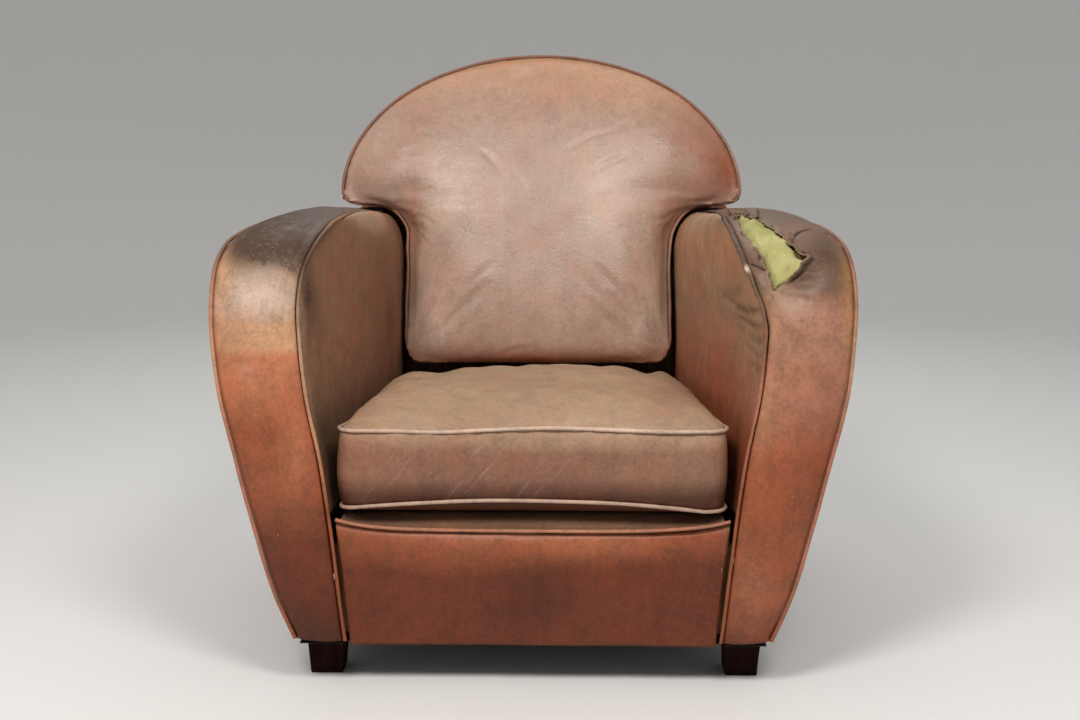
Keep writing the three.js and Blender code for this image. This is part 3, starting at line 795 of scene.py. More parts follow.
soil(leftBand,
     [((-0.35, -0.365, 0.572), (0.045, 0.06, 0.024), 1.1), ((-0.33, -0.27, 0.592), (0.06, 0.09, 0.02), 0.9),
      ((-0.32, -0.1, 0.6), (0.05, 0.14, 0.04), 0.3), ((-0.3, -0.385, 0.56), (0.014, 0.03, 0.03), 0.6)],
     [((-0.34, -0.42, 0.515), (0.035, 0.03, 0.02), 0.8),
      ((-0.36, -0.42, 0.43), (0.01, 0.03, 0.015), 0.3)])
finishLeather(leftBand, 'arm', 'left_arm_band', 'left_arm_band_foam')

rightBand = makeBand('right')
# each flap's row, place across, heading, length, width, curl and seed
flaps = [curledFlap(*numbers) for numbers in (
    (9.66, 0.180, 1.5, 0.006, 0.016, 1.0, 1), (9.34, 0.235, 1.6, 0.011, 0.030, 2.3, 2),
    (8.62, 0.305, 1.6, 0.004, 0.016, 0.8, 4), (8.02, 0.400, 1.5, 0.011, 0.030, 1.0, 5),
    (7.86, 0.415, 1.2, 0.006, 0.014, 1.3, 6), (9.84, 0.13, 0.5, 0.011, 0.026, 1.3, 7),
    (9.60, 0.085, -1.3, 0.006, 0.026, 1.2, 8), (9.90, 0.06, -0.8, 0.010, 0.020, 1.2, 9))]
for flap in flaps:
    tint(flap, [(0.5, 'umber'), (0.64, 'umber')], wander=0.03)
    soil(flap, [((0.31, -0.20, 0.6), (0.1, 0.3, 0.1), 0.35)])
    paint(flap, 'edge', np.full(len(flap.data.vertices), 0.18))
    paint(flap, 'dark', np.zeros(len(flap.data.vertices)))
tint(rightBand,
     [(0.06, 'redBrown'), (0.123, 'russet'), (0.25, 'russet'), (0.309, 'russet'), (0.387, 'rose'),
      (0.43, 'rose'), (0.47, 'blush'), (0.515, 'blush'), (0.55, 'umber'), (0.6, 'umber')],
     [((0.4, -0.39, 0.5), (0.011, 0.12, 0.09), 'amber', 0.6),
      ((0.31, -0.415, 0.53), (0.018, 0.03, 0.05), 'taupe', 0.5),
      ((0.345, -0.42, 0.505), (0.02, 0.04, 0.02), 'pinkTan', 0.45),
      ((0.275, -0.33, 0.585), (0.024, 0.1, 0.05), 'umber', 0.85),
      ((0.36, -0.28, 0.59), (0.03, 0.05, 0.03), 'cocoa', 0.5),
      ((0.37, -0.42, 0.28), (0.04, 0.05, 0.1), 'redBrown', 0.3),
      ((0.29, -0.42, 0.4), (0.02, 0.05, 0.08), 'tan', 0.3),
      ((0.28, -0.42, 0.12), (0.03, 0.05, 0.05), 'rose', 0.4)], wander=0.01)
soil(rightBand,
     [((0.37, -0.35, 0.57), (0.04, 0.07, 0.026), 0.55), ((0.33, -0.41, 0.54), (0.04, 0.03, 0.02), 0.55),
      ((0.32, -0.08, 0.6), (0.05, 0.14, 0.04), 0.3)],
     [((0.325, -0.42, 0.51), (0.02, 0.03, 0.015), 0.35)])
# slits in the leather round the hole, as rows and places across; they are sunk a little and painted dark as
# shade inside the cracks
slitRuns = (((7.90, 0.44), (8.10, 0.50), (8.30, 0.57), (8.42, 0.64), (8.60, 0.72)),
            ((7.47, 0.53), (7.38, 0.555)),
            ((8.75, 0.045), (8.45, 0.060), (8.30, 0.085)), ((8.00, 0.095), (7.80, 0.115), (7.50, 0.115)),
            ((7.42, 0.030), (7.30, 0.070), (7.12, 0.120)))
points = getPoints(rightBand)
slits = lineMask(points, [[onBand(np.array([row]), np.array([across]), True)[0][0] for row, across in run]
                          for run in slitRuns], 0.0022)
# painted shade inside the slits
paint(rightBand, 'dark', np.maximum(getMask(rightBand, 'dark'), slits))
setPoints(rightBand, points - np.array([0, 0.25, 0.95]) * (0.0018 * slits)[:, None])
deselectAll()
for flap in flaps:
    flap.select_set(True)
rightBand.select_set(True)
bpy.context.view_layer.objects.active = rightBand
bpy.ops.object.join()
finishLeather(rightBand, 'arm', 'right_arm_band')


tornFoam = {
    'grid': (60, 250), 'across': (0.055, 0.945), 'rows': (0.15, 12.85), 'sink': 0.0050, 'depth': 0.020,
    'bulge': 0.0042,          # how far it swells up into the hole
    'tucked': 0.006,          # and how deep it lies under the leather
    'cornerDepth': 0.012,     # a dark hole at the tear's corner
}


def makeTornFoam():
    piece = flatGrid('rightArmTornFoam', *tornFoam['grid'])
    flat = getPoints(piece)
    across, rows = blend(*tornFoam['across'], flat[:, 0]), blend(*tornFoam['rows'], flat[:, 1])
    points, out, width = onBand(rows, across, True, sink=tornFoam['sink'])
    inHole = tearDepth(rows, across, width)
    outerSide = ramp(across, 0.2, 0.35)
    bared = ramp(inHole, blend(-0.001, -0.006, outerSide), blend(0.007, 0.0, outerSide))
    lumps = 0.0022 * ripple(points, 0.016, 51) + 0.0010 * ripple(points, 0.006, 52)
    lumps += 0.0006 * ripple(points, 0.003, 53)
    pitted = -0.0030 * ramp(ripple(points, 0.010, 54), 1.3, 2.2)
    rise = bared * (tornFoam['bulge'] + (lumps + pitted) * ramp(inHole, -0.001, 0.006))
    rise -= tornFoam['tucked'] * (1 - bared)
    corner = np.exp(-((rows - 7.40) / 0.09) ** 2 - ((across - 0.52) / 0.06) ** 2)
    points = points + out * (rise - tornFoam['cornerDepth'] * corner)[:, None]
    nibbled = 0.0025 * np.exp(-(inHole / 0.004) ** 2) * ramp(ripple(points, 0.02, 55), 0.2, 1.5)
    setPoints(piece, points - out * nibbled[:, None])
    faceAway(piece, (0.32, 0.05, 0.35))
    applyModifier(piece, 'SOLIDIFY', thickness=tornFoam['depth'], offset=-1)
    smooth(piece)
    points = getPoints(piece)
    paint(piece, 'green', spots(points, [((0.295, -0.27, 0.60), (0.02, 0.05, 0.04), 0.9),
                                         ((0.315, -0.31, 0.59), (0.015, 0.03, 0.04), 0.4)])
          * (0.6 + 0.4 * ripple(points, 0.012, 56)))
    paint(piece, 'dark', ramp(ripple(points, 0.012, 54), 2.1, 2.8) * 0.6)
    return piece


print("making the torn foam")
finishPiece(makeTornFoam(), finishes['foam'], 'foam', 'right_arm_band_foam')

armWall = {
    'grid': {'left': (130, 80), 'right': (200, 96)}, 'outerGrid': (96, 64),
    'front': -0.420,              # where the walls begin
    'atBack': 0.216, 'leftLean': 0.007,
    'wallShare': 0.6,             # share of the rows below the roll over the top
    'waves': 0.0016, 'foldShade': {'left': 0.1, 'right': 0.55},
}
bodyBottom, sideBottom, seamInset = 0.062, 0.233, 0.0055


def onInsideArm(u, v, torn=False):
    atBack = armWall['atBack'] + (0 if torn else armWall['leftLean'])
    top = innerEdge(blend(turnRow, insideEndRow, u), torn)
    y = top[:, 1] + seamInset * (1 - u)
    toBack = ramp(y, armWall['front'], 0.020)
    roll = blend(0.008, 0.060, toBack)
    topZ = top[:, 2] - 0.0034 * np.sqrt(1 - toBack)
    topX = top[:, 0] - 0.0034 * np.sqrt(toBack)
    low = v < armWall['wallShare']
    turn = np.clip((v - armWall['wallShare']) / (1 - armWall['wallShare']), 0, 1) * math.pi / 2
    flat = blend(sideBottom, topZ - roll, v / armWall['wallShare'])
    z = np.where(low, flat, topZ - roll + roll * np.sin(turn))
    wall = blend(seamAt(innerSeam, np.minimum(z, top[:, 2])), atBack, toBack)
    x = blend(wall, np.maximum(topX, wall), 1 - np.cos(turn))
    return np.stack([x, y, z], axis=1)


def onOutsideArm(u, v):
    top = seam(outerSeam, blend(lastRow, turnRow, u))
    z = blend(bodyBottom + 0.002, top[:, 2] - 0.0045, v)
    topZ = top[:, 2] - 0.0045
    lean = seamAt(outerSeam, blend(bodyBottom, top[:, 2], v), 1) - seamAt(outerSeam, top[:, 2], 1)
    y = top[:, 1] + 0.0045 * u + lean * u ** 4
    toBack = np.clip((y - armWall['front']) / 0.812, 0, 1)
    rear = blend(0.300, 0.336, (z - bodyBottom) / (topZ - bodyBottom))
    x = blend(seamAt(outerSeam, z), rear, toBack ** 1.3) - 0.001
    return np.stack([x, y, z], axis=1)


armFolds = {
    'right': [((0.290, -0.408, 0.506), (0.280, -0.215, 0.497), 0.0036, 0.0036),
              ((0.290, -0.408, 0.483), (0.280, -0.270, 0.478), 0.0034, 0.0028),
              ((0.290, -0.409, 0.462), (0.280, -0.310, 0.459), 0.0032, 0.0024),
              ((0.290, -0.409, 0.444), (0.280, -0.300, 0.446), 0.0032, 0.0022),
              ((0.288, -0.410, 0.427), (0.280, -0.330, 0.428), 0.0030, 0.0018),
              ((0.262, -0.30, 0.52), (0.245, -0.20, 0.50), 0.008, 0.0012)],
    'left': [((-0.285, -0.385, 0.52), (-0.270, -0.36, 0.43), 0.010, 0.0024),
             ((-0.262, -0.30, 0.44), (-0.240, -0.22, 0.41), 0.006, 0.0012),
             ((-0.222, -0.06, 0.40), (-0.226, -0.10, 0.48), 0.006, 0.0014)],
}


def makeInsideArm(side):
    sign = 1 if side == 'right' else -1
    piece = gridPiece(side + 'InsideArm', *armWall['grid'][side],
                      lambda u, v: onInsideArm(u, v, side == 'right'))
    putOnSide(piece, sign)
    points = getPoints(piece)
    faceAway(piece, (sign * 0.33, 0.05, 0.35))
    near = np.minimum(1, np.abs(points[:, 1] - armWall['front']) / 0.02)
    normals = getNormals(piece)
    amount = armWall['waves'] * near * ripple(points, 0.13, 61 + sign)
    amount += 0.0004 * near * ripple(points, 0.025, 63)
    waved = points + normals * amount[:, None]
    shaped = creased(waved, normals, armFolds[side])
    setPoints(piece, shaped)
    # painted shade in the fold grooves, set by foldShade for each side
    groove = np.clip(-((shaped - waved) * normals).sum(axis=1) / 0.0025, 0, 1)
    paint(piece, 'dark', armWall['foldShade'][side] * groove)
    thicken(piece)
    return piece


def makeOutsideArm(side):
    sign = 1 if side == 'right' else -1
    piece = gridPiece(side + 'OutsideArm', *armWall['outerGrid'], onOutsideArm)
    putOnSide(piece, sign)
    points = getPoints(piece)
    faceAway(piece, (sign * 0.20, 0.0, 0.33))
    edge = ramp(points[:, 2], 0.062, 0.10)
    normals = getNormals(piece)
    amount = 0.0012 * edge * ripple(points, 0.15, 66 + sign) - 0.0006
    setPoints(piece, points + normals * np.minimum(amount, 0.001)[:, None])
    thicken(piece)
    return piece


wallLook = {
    'left': {
        'heights': [(0.23, 'umber'), (0.33, 'umber'), (0.42, 'olive'), (0.50, 'olive'), (0.58, 'olive'),
                    (0.60, 'taupe')],
        'patches': [((-0.285, -0.405, 0.45), (0.02, 0.016, 0.12), 'taupe', 0.7),
                    ((-0.275, -0.365, 0.51), (0.03, 0.040, 0.07), 'soot', 0.6),
                    ((-0.22, -0.05, 0.45), (0.05, 0.07, 0.10), 'redBrown', 0.6),
                    ((-0.25, -0.22, 0.46), (0.05, 0.06, 0.06), 'rose', 0.35),
                    ((-0.24, -0.25, 0.50), (0.05, 0.06, 0.08), 'olive', 0.5)],
        'grime': [((-0.275, -0.375, 0.53), (0.03, 0.035, 0.05), 0.65),
                  ((-0.23, -0.15, 0.33), (0.04, 0.12, 0.05), 0.35)],
        'rubs': [((-0.29, -0.405, 0.49), (0.01, 0.012, 0.03), 0.3)],
    },
    'right': {
        'heights': [(0.23, 'redBrown'), (0.33, 'russet'), (0.40, 'rose'), (0.48, 'taupe'), (0.56, 'tan'),
                    (0.60, 'taupe')],
        'patches': [((0.285, -0.405, 0.48), (0.02, 0.03, 0.08), 'rose', 0.5),
                    ((0.235, -0.10, 0.44), (0.03, 0.09, 0.10), 'rose', 0.5),
                    ((0.27, -0.35, 0.30), (0.03, 0.10, 0.05), 'darkBrown', 0.4),
                    ((0.25, -0.28, 0.50), (0.03, 0.03, 0.08), 'olive', 0.4)],
        'grime': [((0.27, -0.31, 0.55), (0.02, 0.03, 0.05), 0.35),
                  ((0.23, -0.15, 0.33), (0.04, 0.12, 0.05), 0.3)],
        'rubs': [],
    },
}
print("making the arm walls")
for side, sign in (('left', -1), ('right', 1)):
    look = wallLook[side]
    inside = makeInsideArm(side)
    tint(inside, look['heights'], look['patches'], wander=0.02)
    soil(inside, look['grime'], look['rubs'])
    finishLeather(inside, 'side', side + '_inside_arm_cover', side + '_inside_arm_foam')
    outside = makeOutsideArm(side)
    tint(outside, [(0.06, 'redBrown'), (0.22, 'redBrown'), (0.42, 'russet'), (0.56, 'rose')],
         [((sign * 0.4, -0.2, 0.52), (0.05, 0.15, 0.06), 'tan', 0.5),
          ((sign * 0.34, 0.2, 0.12), (0.06, 0.25, 0.05), 'darkBrown', 0.6),
          ((sign * 0.36, 0.05, 0.35), (0.05, 0.12, 0.08), 'rose', 0.4)], wander=0.03, seed=12)
    soil(outside, [((sign * 0.33, 0.0, 0.07), (0.1, 0.5, 0.03), 0.45)],
         [((sign * 0.4, -0.3, 0.48), (0.03, 0.05, 0.05), 0.3)])
    finishLeather(outside, 'side', side + '_outside_arm_cover')

backPad = {
    'crown': 0.030, 'edgeRise': 0.026, 'roll': 0.014, 'ease': 0.022,   # how the face swells in from its edge
    'voxel': 0.0056, 'pressure': 2.4, 'cap': 0.007, 'inset': 0.0012, 'depth': 0.055,
    'cornerOut': 0.0035, 'cornerDown': 0.0050, 'leanOut': 0.0060,
    'lowRoll': (0, 0.004, 0.0090), 'earRoll': 0.0050,                  # its low edge and ears curl down
    'folds': [((-0.10, 0.10, 0.700), (-0.06, 0.08, 0.655), 0.006, 0.0010),
              ((-0.045, 0.08, 0.665), (-0.02, 0.07, 0.615), 0.006, 0.0008),
              ((-0.202, 0.12, 0.585), (-0.165, 0.09, 0.572), 0.003, 0.0012),
              ((-0.200, 0.10, 0.560), (-0.170, 0.08, 0.535), 0.003, 0.0009),
              ((0.202, 0.12, 0.590), (0.168, 0.09, 0.578), 0.003, 0.0011),
              ((0.04, 0.09, 0.700), (0.12, 0.10, 0.735), 0.005, 0.0010),
              ((0.06, 0.08, 0.640), (0.15, 0.10, 0.690), 0.006, 0.0010),
              ((0.185, 0.045, 0.385), (0.160, 0.035, 0.405), 0.003, 0.0024),
              ((0.192, 0.050, 0.400), (0.168, 0.040, 0.425), 0.003, 0.0020),
              ((0.165, 0.040, 0.372), (0.150, 0.035, 0.392), 0.003, 0.0018),
              ((-0.188, 0.045, 0.390), (-0.165, 0.035, 0.412), 0.003, 0.0018),
              ((-0.06, 0.04, 0.378), (-0.01, 0.035, 0.386), 0.004, 0.0012)],
}


def onPad(across, up, through):
    # a cube's surface laid onto the pad: across and up over its face, through from back to front
    ring = padOutline(400)
    angles = np.arctan2(ring[:, 2] - arch['middle'], ring[:, 0])
    order = np.argsort(angles)
    reach = np.hypot(ring[:, 0], ring[:, 2] - arch['middle'])
    share = np.maximum(np.abs(across), np.abs(up))
    angle = np.arctan2(up, across)
    edge = np.interp(angle, angles[order], reach[order], period=2 * math.pi) - backPad['inset']
    edge = edge - 0.010 * (1 - np.clip((through + 1) / 2, 0, 1)) ** 1.5
    x, z = edge * share * np.cos(angle), arch['middle'] + edge * share * np.sin(angle)
    # the face swells up quickly from its edge and then domes gently
    closeness, spacing = np.zeros(len(x)), 0.005
    for place in evenly(ring, spacing, True):
        closeness += np.exp(-np.hypot(x - place[0], z - place[2]) / backPad['ease'])
    margin = np.clip(backPad['ease'] * np.log(2 * backPad['ease'] / (closeness * spacing)), 0, None)
    roll = 1 - np.exp(-margin / backPad['roll'])
    broad = (1 - (x / 0.34) ** 2) * (1 - ((z - 0.585) / 0.27) ** 2)
    swollen = backPad['edgeRise'] * roll + backPad['crown'] * np.clip(broad, 0, 1) * roll
    face = padSeamY(z) - swollen * (through > 0.99) + 0.0015
    rear = padSeamY(z) + backPad['depth']
    y = blend(rear, face, (through + 1) / 2)
    return np.stack([x, y, z], axis=1)


def cubePiece(name, cuts):
    deselectAll()
    bpy.ops.mesh.primitive_cube_add(size=2)
    piece = named(bpy.context.object, name)
    bpy.ops.object.mode_set(mode='EDIT')
    bpy.ops.mesh.select_all(action='SELECT')
    bpy.ops.mesh.subdivide(number_cuts=cuts)
    bpy.ops.object.mode_set(mode='OBJECT')
    return piece


padCloth = {'quality': 5, 'mass': 0.35, 'stretch': 22, 'shear': 10, 'bend': 1.2, 'frames': 20}


def swell(piece, pressure, cap, sewn):
    # the pad filled out by a short cloth run, held along its seams
    before = getPoints(piece)
    group = piece.vertex_groups.new(name='sewn')
    group.add(np.nonzero(sewn)[0].tolist(), 1.0, 'REPLACE')
    pick(piece)
    modifier = piece.modifiers.new('Cloth', 'CLOTH')
    hide = modifier.settings
    hide.quality = padCloth['quality']
    hide.mass = padCloth['mass']
    hide.tension_stiffness = padCloth['stretch']
    hide.compression_stiffness = padCloth['stretch']
    hide.shear_stiffness = padCloth['shear']
    hide.bending_stiffness = padCloth['bend']
    hide.use_pressure = True
    hide.uniform_pressure_force = pressure
    hide.vertex_group_mass = 'sewn'
    hide.effector_weights.gravity = 0
    modifier.point_cache.frame_end = padCloth['frames']
    for frameNumber in range(1, padCloth['frames'] + 1):
        bpy.context.scene.frame_set(frameNumber)
    bpy.ops.object.modifier_apply(modifier=modifier.name)
    bpy.context.scene.frame_set(1)
    moved = getPoints(piece) - before
    far = np.linalg.norm(moved, axis=1, keepdims=True)
    setPoints(piece, before + moved * np.minimum(1, cap / (far + 1e-9)))
    piece.vertex_groups.clear()


def squareOff(points):
    # the pad's lower corners are nearly square and its left side leans out to the arm
    points = points.copy()
    low = 1 - ramp(points[:, 2], 0.365, 0.425)
    corner = ramp(np.abs(points[:, 0]), 0.14, 0.20) * low
    points[:, 0] += np.sign(points[:, 0]) * backPad['cornerOut'] * corner
    points[:, 2] -= backPad['cornerDown'] * corner
    leaning = ramp(-points[:, 0], 0.15, 0.205) * (1 - ramp(points[:, 2], 0.53, 0.57))
    points[:, 0] -= backPad['leanOut'] * leaning
    return points


def makeBackPad():
    piece = cubePiece('insideBack', 47)
    cube = getPoints(piece)
    setPoints(piece, onPad(cube[:, 0], cube[:, 2], -cube[:, 1]))
    fixNormals(piece)
    applyModifier(piece, 'REMESH', mode='VOXEL', voxel_size=backPad['voxel'])
    points = getPoints(piece)
    ahead = points[:, 1] - padSeamY(points[:, 2])
    swell(piece, backPad['pressure'], backPad['cap'], ahead > -0.004)
    applyModifier(piece, 'SUBSURF', levels=1, render_levels=1)
    points, normals = getPoints(piece), getNormals(piece)
    front = ramp(-normals[:, 1], 0.1, 0.6)
    wave = front * (0.0016 * ripple(points, 0.12, 71) + 0.0004 * ripple(points, 0.03, 72))
    points = points + normals * wave[:, None]
    lowRoll = np.exp(-((points[:, 2] - 0.382) / 0.024) ** 2) * front
    points = points - np.array(backPad['lowRoll']) * lowRoll[:, None]
    earRoll = np.exp(-((points[:, 2] - 0.618) / 0.014) ** 2) * front
    points[:, 2] -= backPad['earRoll'] * earRoll * ramp(np.abs(points[:, 0]), 0.215, 0.25)
    points = squareOff(points)
    setPoints(piece, creased(points, normals, backPad['folds']))
    smooth(piece)
    return piece


print("making the back")
insideBack = makeBackPad()
tint(insideBack,
     [(0.35, 'rose'), (0.39, 'pinkTan'), (0.5, 'pinkTan'), (0.74, 'pinkTan'), (0.82, 'tan'), (0.84, 'rose')],
     # painted highlights: the first two pale patches, high on the dome; painted light: the next three, on its
     # lower part
     [((-0.15, 0.05, 0.615), (0.035, 0.2, 0.05), 'paleHideAndSheen', 0.45),
      ((0.103, 0.05, 0.62), (0.045, 0.2, 0.06), 'paleHideAndSheen', 0.55),
      ((-0.175, 0.1, 0.44), (0.04, 0.2, 0.09), 'paleHideAndSheen', 0.45),
      ((0.175, 0.1, 0.44), (0.04, 0.2, 0.09), 'paleHideAndSheen', 0.4),
      ((0.0, 0.1, 0.43), (0.12, 0.2, 0.05), 'paleHideAndSheen', 0.25),
      ((-0.27, 0.1, 0.7), (0.05, 0.2, 0.06), 'paleHideAndSheen', 0.3),
      ((0.285, 0.15, 0.66), (0.055, 0.2, 0.06), 'russet', 0.8),
      ((0.25, 0.15, 0.72), (0.06, 0.2, 0.05), 'rose', 0.5),
      ((-0.205, 0.1, 0.55), (0.018, 0.2, 0.09), 'rose', 0.5),
      ((0.21, 0.1, 0.55), (0.025, 0.2, 0.09), 'rose', 0.7),
      ((0.0, 0.1, 0.365), (0.25, 0.2, 0.018), 'russet', 0.7)], wander=0.015)
soil(insideBack, [((0.0, 0.05, 0.352), (0.2, 0.1, 0.012), 0.6)],
     [((-0.02, 0.1, 0.73), (0.05, 0.1, 0.02), 0.12)])
finishLeather(insideBack, 'back', 'inside_back_cover', 'inside_back_foam')


backCover = {
    'bandGrid': (240, 26), 'bandDip': 2.5, 'bandRearDip': 9,   # degrees that the band goes on past level
    'bandSeam': 0.0042, 'bandBelly': 0.009,
    'grid': (104, 104), 'belly': 0.0338, 'flare': 0.036,
}


def onBackBand(u, v):
    dip = backCover['bandDip']
    front = archPoint(u, arch['half'], arch['rise'], dip)
    front[:, 1] = padSeamY(front[:, 2])
    rear = archPoint(u, arch['rearHalf'], arch['rearRise'], backCover['bandRearDip'])
    rear[:, 1] = arch['rearY']
    width = np.linalg.norm(rear - front, axis=1)
    share = blend(backCover['bandSeam'], width - backCover['bandSeam'], v) / width
    step = 0.002
    slope = (archPoint(u + step, arch['half'], arch['rise'], dip)
             - archPoint(u - step, arch['half'], arch['rise'], dip))
    out = unit(np.cross(rear - front, slope))
    out = out * np.sign(out[:, 0:1] * front[:, 0:1] + out[:, 2:3] * (front[:, 2:3] - 0.5))
    edge = np.minimum(share, 1 - share) * width
    rise = backCover['bandBelly'] * 4 * share * (1 - share) - 0.004 * np.exp(-(edge / 0.005) ** 2)
    return front + (rear - front) * share[:, None] + out * rise[:, None]


def onOutsideBack(u, v):
    side = 2 * u - 1
    top = archPoint(1 - u, arch['rearHalf'], arch['rearRise'], 0)
    z = blend(bodyBottom + 0.002, top[:, 2] - 0.0045, v)
    spread = ramp(z, 0.062, 0.566) * (1 - ramp(z, 0.566, 0.620))
    x = (blend(0.300 * side, top[:, 0], v ** 2) + backCover['flare'] * spread * side ** 3) * 0.995
    belly = backCover['belly'] * (1 - side ** 2) * np.sin(math.pi * blend(0.1, 0.92, v))
    y = blend(0.396, arch['rearY'], v) + belly - 0.0005
    return np.stack([x, y, z], axis=1)


backBand = gridPiece('backBand', *backCover['bandGrid'], onBackBand)
faceAway(backBand, (0, 0.30, 0.60))
soften(backBand, 0.12, 0.0009, 75)
thicken(backBand)
tint(backBand, [(0.56, 'redBrown'), (0.65, 'russet'), (0.84, 'rose')],
     [((0, 0.25, 0.84), (0.2, 0.1, 0.05), 'tan', 0.4)], wander=0.03)
soil(backBand, [((0.3, 0.3, 0.6), (0.05, 0.2, 0.05), 0.3)])
finishLeather(backBand, 'back', 'back_band')

outsideBack = gridPiece('outsideBack', *backCover['grid'], onOutsideBack)
faceAway(outsideBack, (0, 0.1, 0.45))
points, normals = getPoints(outsideBack), getNormals(outsideBack)
setPoints(outsideBack, points - normals * (0.0006 + 0.0006 * ripple(points, 0.16, 77))[:, None])
thicken(outsideBack)
tint(outsideBack, [(0.06, 'redBrown'), (0.25, 'russet'), (0.55, 'rose'), (0.82, 'rose')],
     [((0, 0.42, 0.6), (0.18, 0.1, 0.14), 'tan', 0.45),
      ((0.1, 0.42, 0.12), (0.2, 0.1, 0.06), 'darkBrown', 0.5)], wander=0.04)
soil(outsideBack, [((0, 0.40, 0.07), (0.4, 0.1, 0.03), 0.5)], [((-0.12, 0.42, 0.5), (0.04, 0.1, 0.05), 0.25)])
finishLeather(outsideBack, 'side', 'outside_back_cover')


facingStrip = {
    'grid': (24, 40), 'low': 0.392, 'high': 0.545, 'lowHalf': 0.2005, 'highHalf': 0.203, 'depth': 0.072,
}


def onFacing(u, v):
    z = blend(facingStrip['low'], facingStrip['high'], v)
    x = blend(facingStrip['lowHalf'], facingStrip['highHalf'], v ** 4)
    y = padSeamY(z) + blend(facingStrip['depth'], seamInset, u)
    return np.stack([x, y, z], axis=1)


for side, sign in (('left', -1), ('right', 1)):
    facing = gridPiece(side + 'InsideBackFacing', *facingStrip['grid'], onFacing)
    putOnSide(facing, sign)
    faceAway(facing, (0, 0.12, 0.47))
    thicken(facing)
    tint(facing, [(0.38, 'redBrown'), (0.55, 'russet')])
    soil(facing, [((sign * 0.2, 0.1, 0.40), (0.05, 0.1, 0.03), 0.5)])
    finishLeather(facing, 'side', side + '_inside_back_facing')

cushion = {
    'front': -0.414, 'rear': 0.038, 'frontHalf': 0.256, 'rearHalf': 0.203, 'corner': 0.032,
    'bottom': 0.240, 'top': 0.345, 'crown': 0.020, 'arched': 0.014,  # the lower seam rises in the middle
    'voxel': 0.0056, 'pressure': 4.0, 'cap': 0.010, 'inset': 0.0030, 'bulge': 0.0060, 'sidePuff': 0.007,
    'rearRise': 0.009, 'rearDrop': 0.009, 'foot': 0.2305, 'pucker': 0.0006,
    'folds': [((-0.150, -0.425, 0.262), (-0.100, -0.425, 0.300), 0.0022, 0.0012),
              ((-0.120, -0.425, 0.258), (-0.075, -0.425, 0.288), 0.0020, 0.0010),
              ((-0.085, -0.425, 0.258), (-0.040, -0.425, 0.315), 0.0022, 0.0013),
              ((-0.055, -0.425, 0.262), (-0.015, -0.425, 0.300), 0.0020, 0.0010),
              ((-0.012, -0.425, 0.262), (0.030, -0.425, 0.292), 0.0022, 0.0009),
              ((-0.190, -0.425, 0.262), (-0.165, -0.425, 0.285), 0.0020, 0.0008),
              ((-0.110, -0.425, 0.330), (-0.060, -0.425, 0.345), 0.0040, 0.0010),
              ((0.230, -0.420, 0.258), (0.205, -0.425, 0.275), 0.0022, 0.0009),
              ((-0.236, -0.420, 0.330), (-0.200, -0.425, 0.322), 0.0022, 0.0009),
              ((-0.02, -0.400, 0.360), (-0.03, -0.300, 0.368), 0.009, 0.0020),
              ((0.02, -0.400, 0.360), (0.06, -0.310, 0.368), 0.009, 0.0018),
              ((-0.07, -0.400, 0.358), (-0.12, -0.320, 0.366), 0.008, 0.0016),
              ((0.09, -0.400, 0.358), (0.150, -0.330, 0.362), 0.008, 0.0014),
              ((-0.12, -0.12, 0.367), (0.06, -0.09, 0.367), 0.008, 0.0012)],
}


def cushionHalf(y):
    return np.interp(y, [cushion['front'], cushion['rear']], [cushion['frontHalf'], cushion['rearHalf']])


def cushionPlan(across, along, outset=0.0):
    # across and along a square, each -1 to 1, laid onto the cushion's rounded outline
    radius = cushion['corner']
    share = np.maximum(np.abs(across), np.abs(along))
    y = blend(cushion['front'], cushion['rear'], (along + 1) / 2)
    half = cushionHalf(y)
    x = across * half
    coreX = np.clip(x, -(half - radius), half - radius)
    coreY = np.clip(y, cushion['front'] + radius, cushion['rear'] - radius)
    dx, dy = x - coreX, y - coreY
    long = np.hypot(dx, dy) + 1e-9
    reach = np.maximum(np.abs(dx), np.abs(dy)) + outset * share ** 6
    inCorner = (np.abs(dx) > 1e-9) | (np.abs(dy) > 1e-9)
    x = np.where(inCorner, coreX + dx / long * reach, x)
    y = np.where(inCorner, coreY + dy / long * reach, y)
    return x, y, share


def seamRise(x, y):
    # the lower seam arches at the front
    frontness = 1 - ramp(y, cushion['front'] + 0.01, cushion['front'] + 0.12)
    return cushion['arched'] * (1 - np.clip(np.abs(x + 0.02) / 0.24, 0, 1) ** 2.2) * frontness


def topRise(x):
    return 0.004 * np.exp(-((x - 0.03) / 0.10) ** 2) - 0.002 * np.exp(-((x + 0.12) / 0.05) ** 2)


def rearDrop(x, y):  # the rear corners are sat down
    return cushion['rearDrop'] * ramp(np.abs(x), 0.11, 0.20) * ramp(y, -0.16, 0.02)


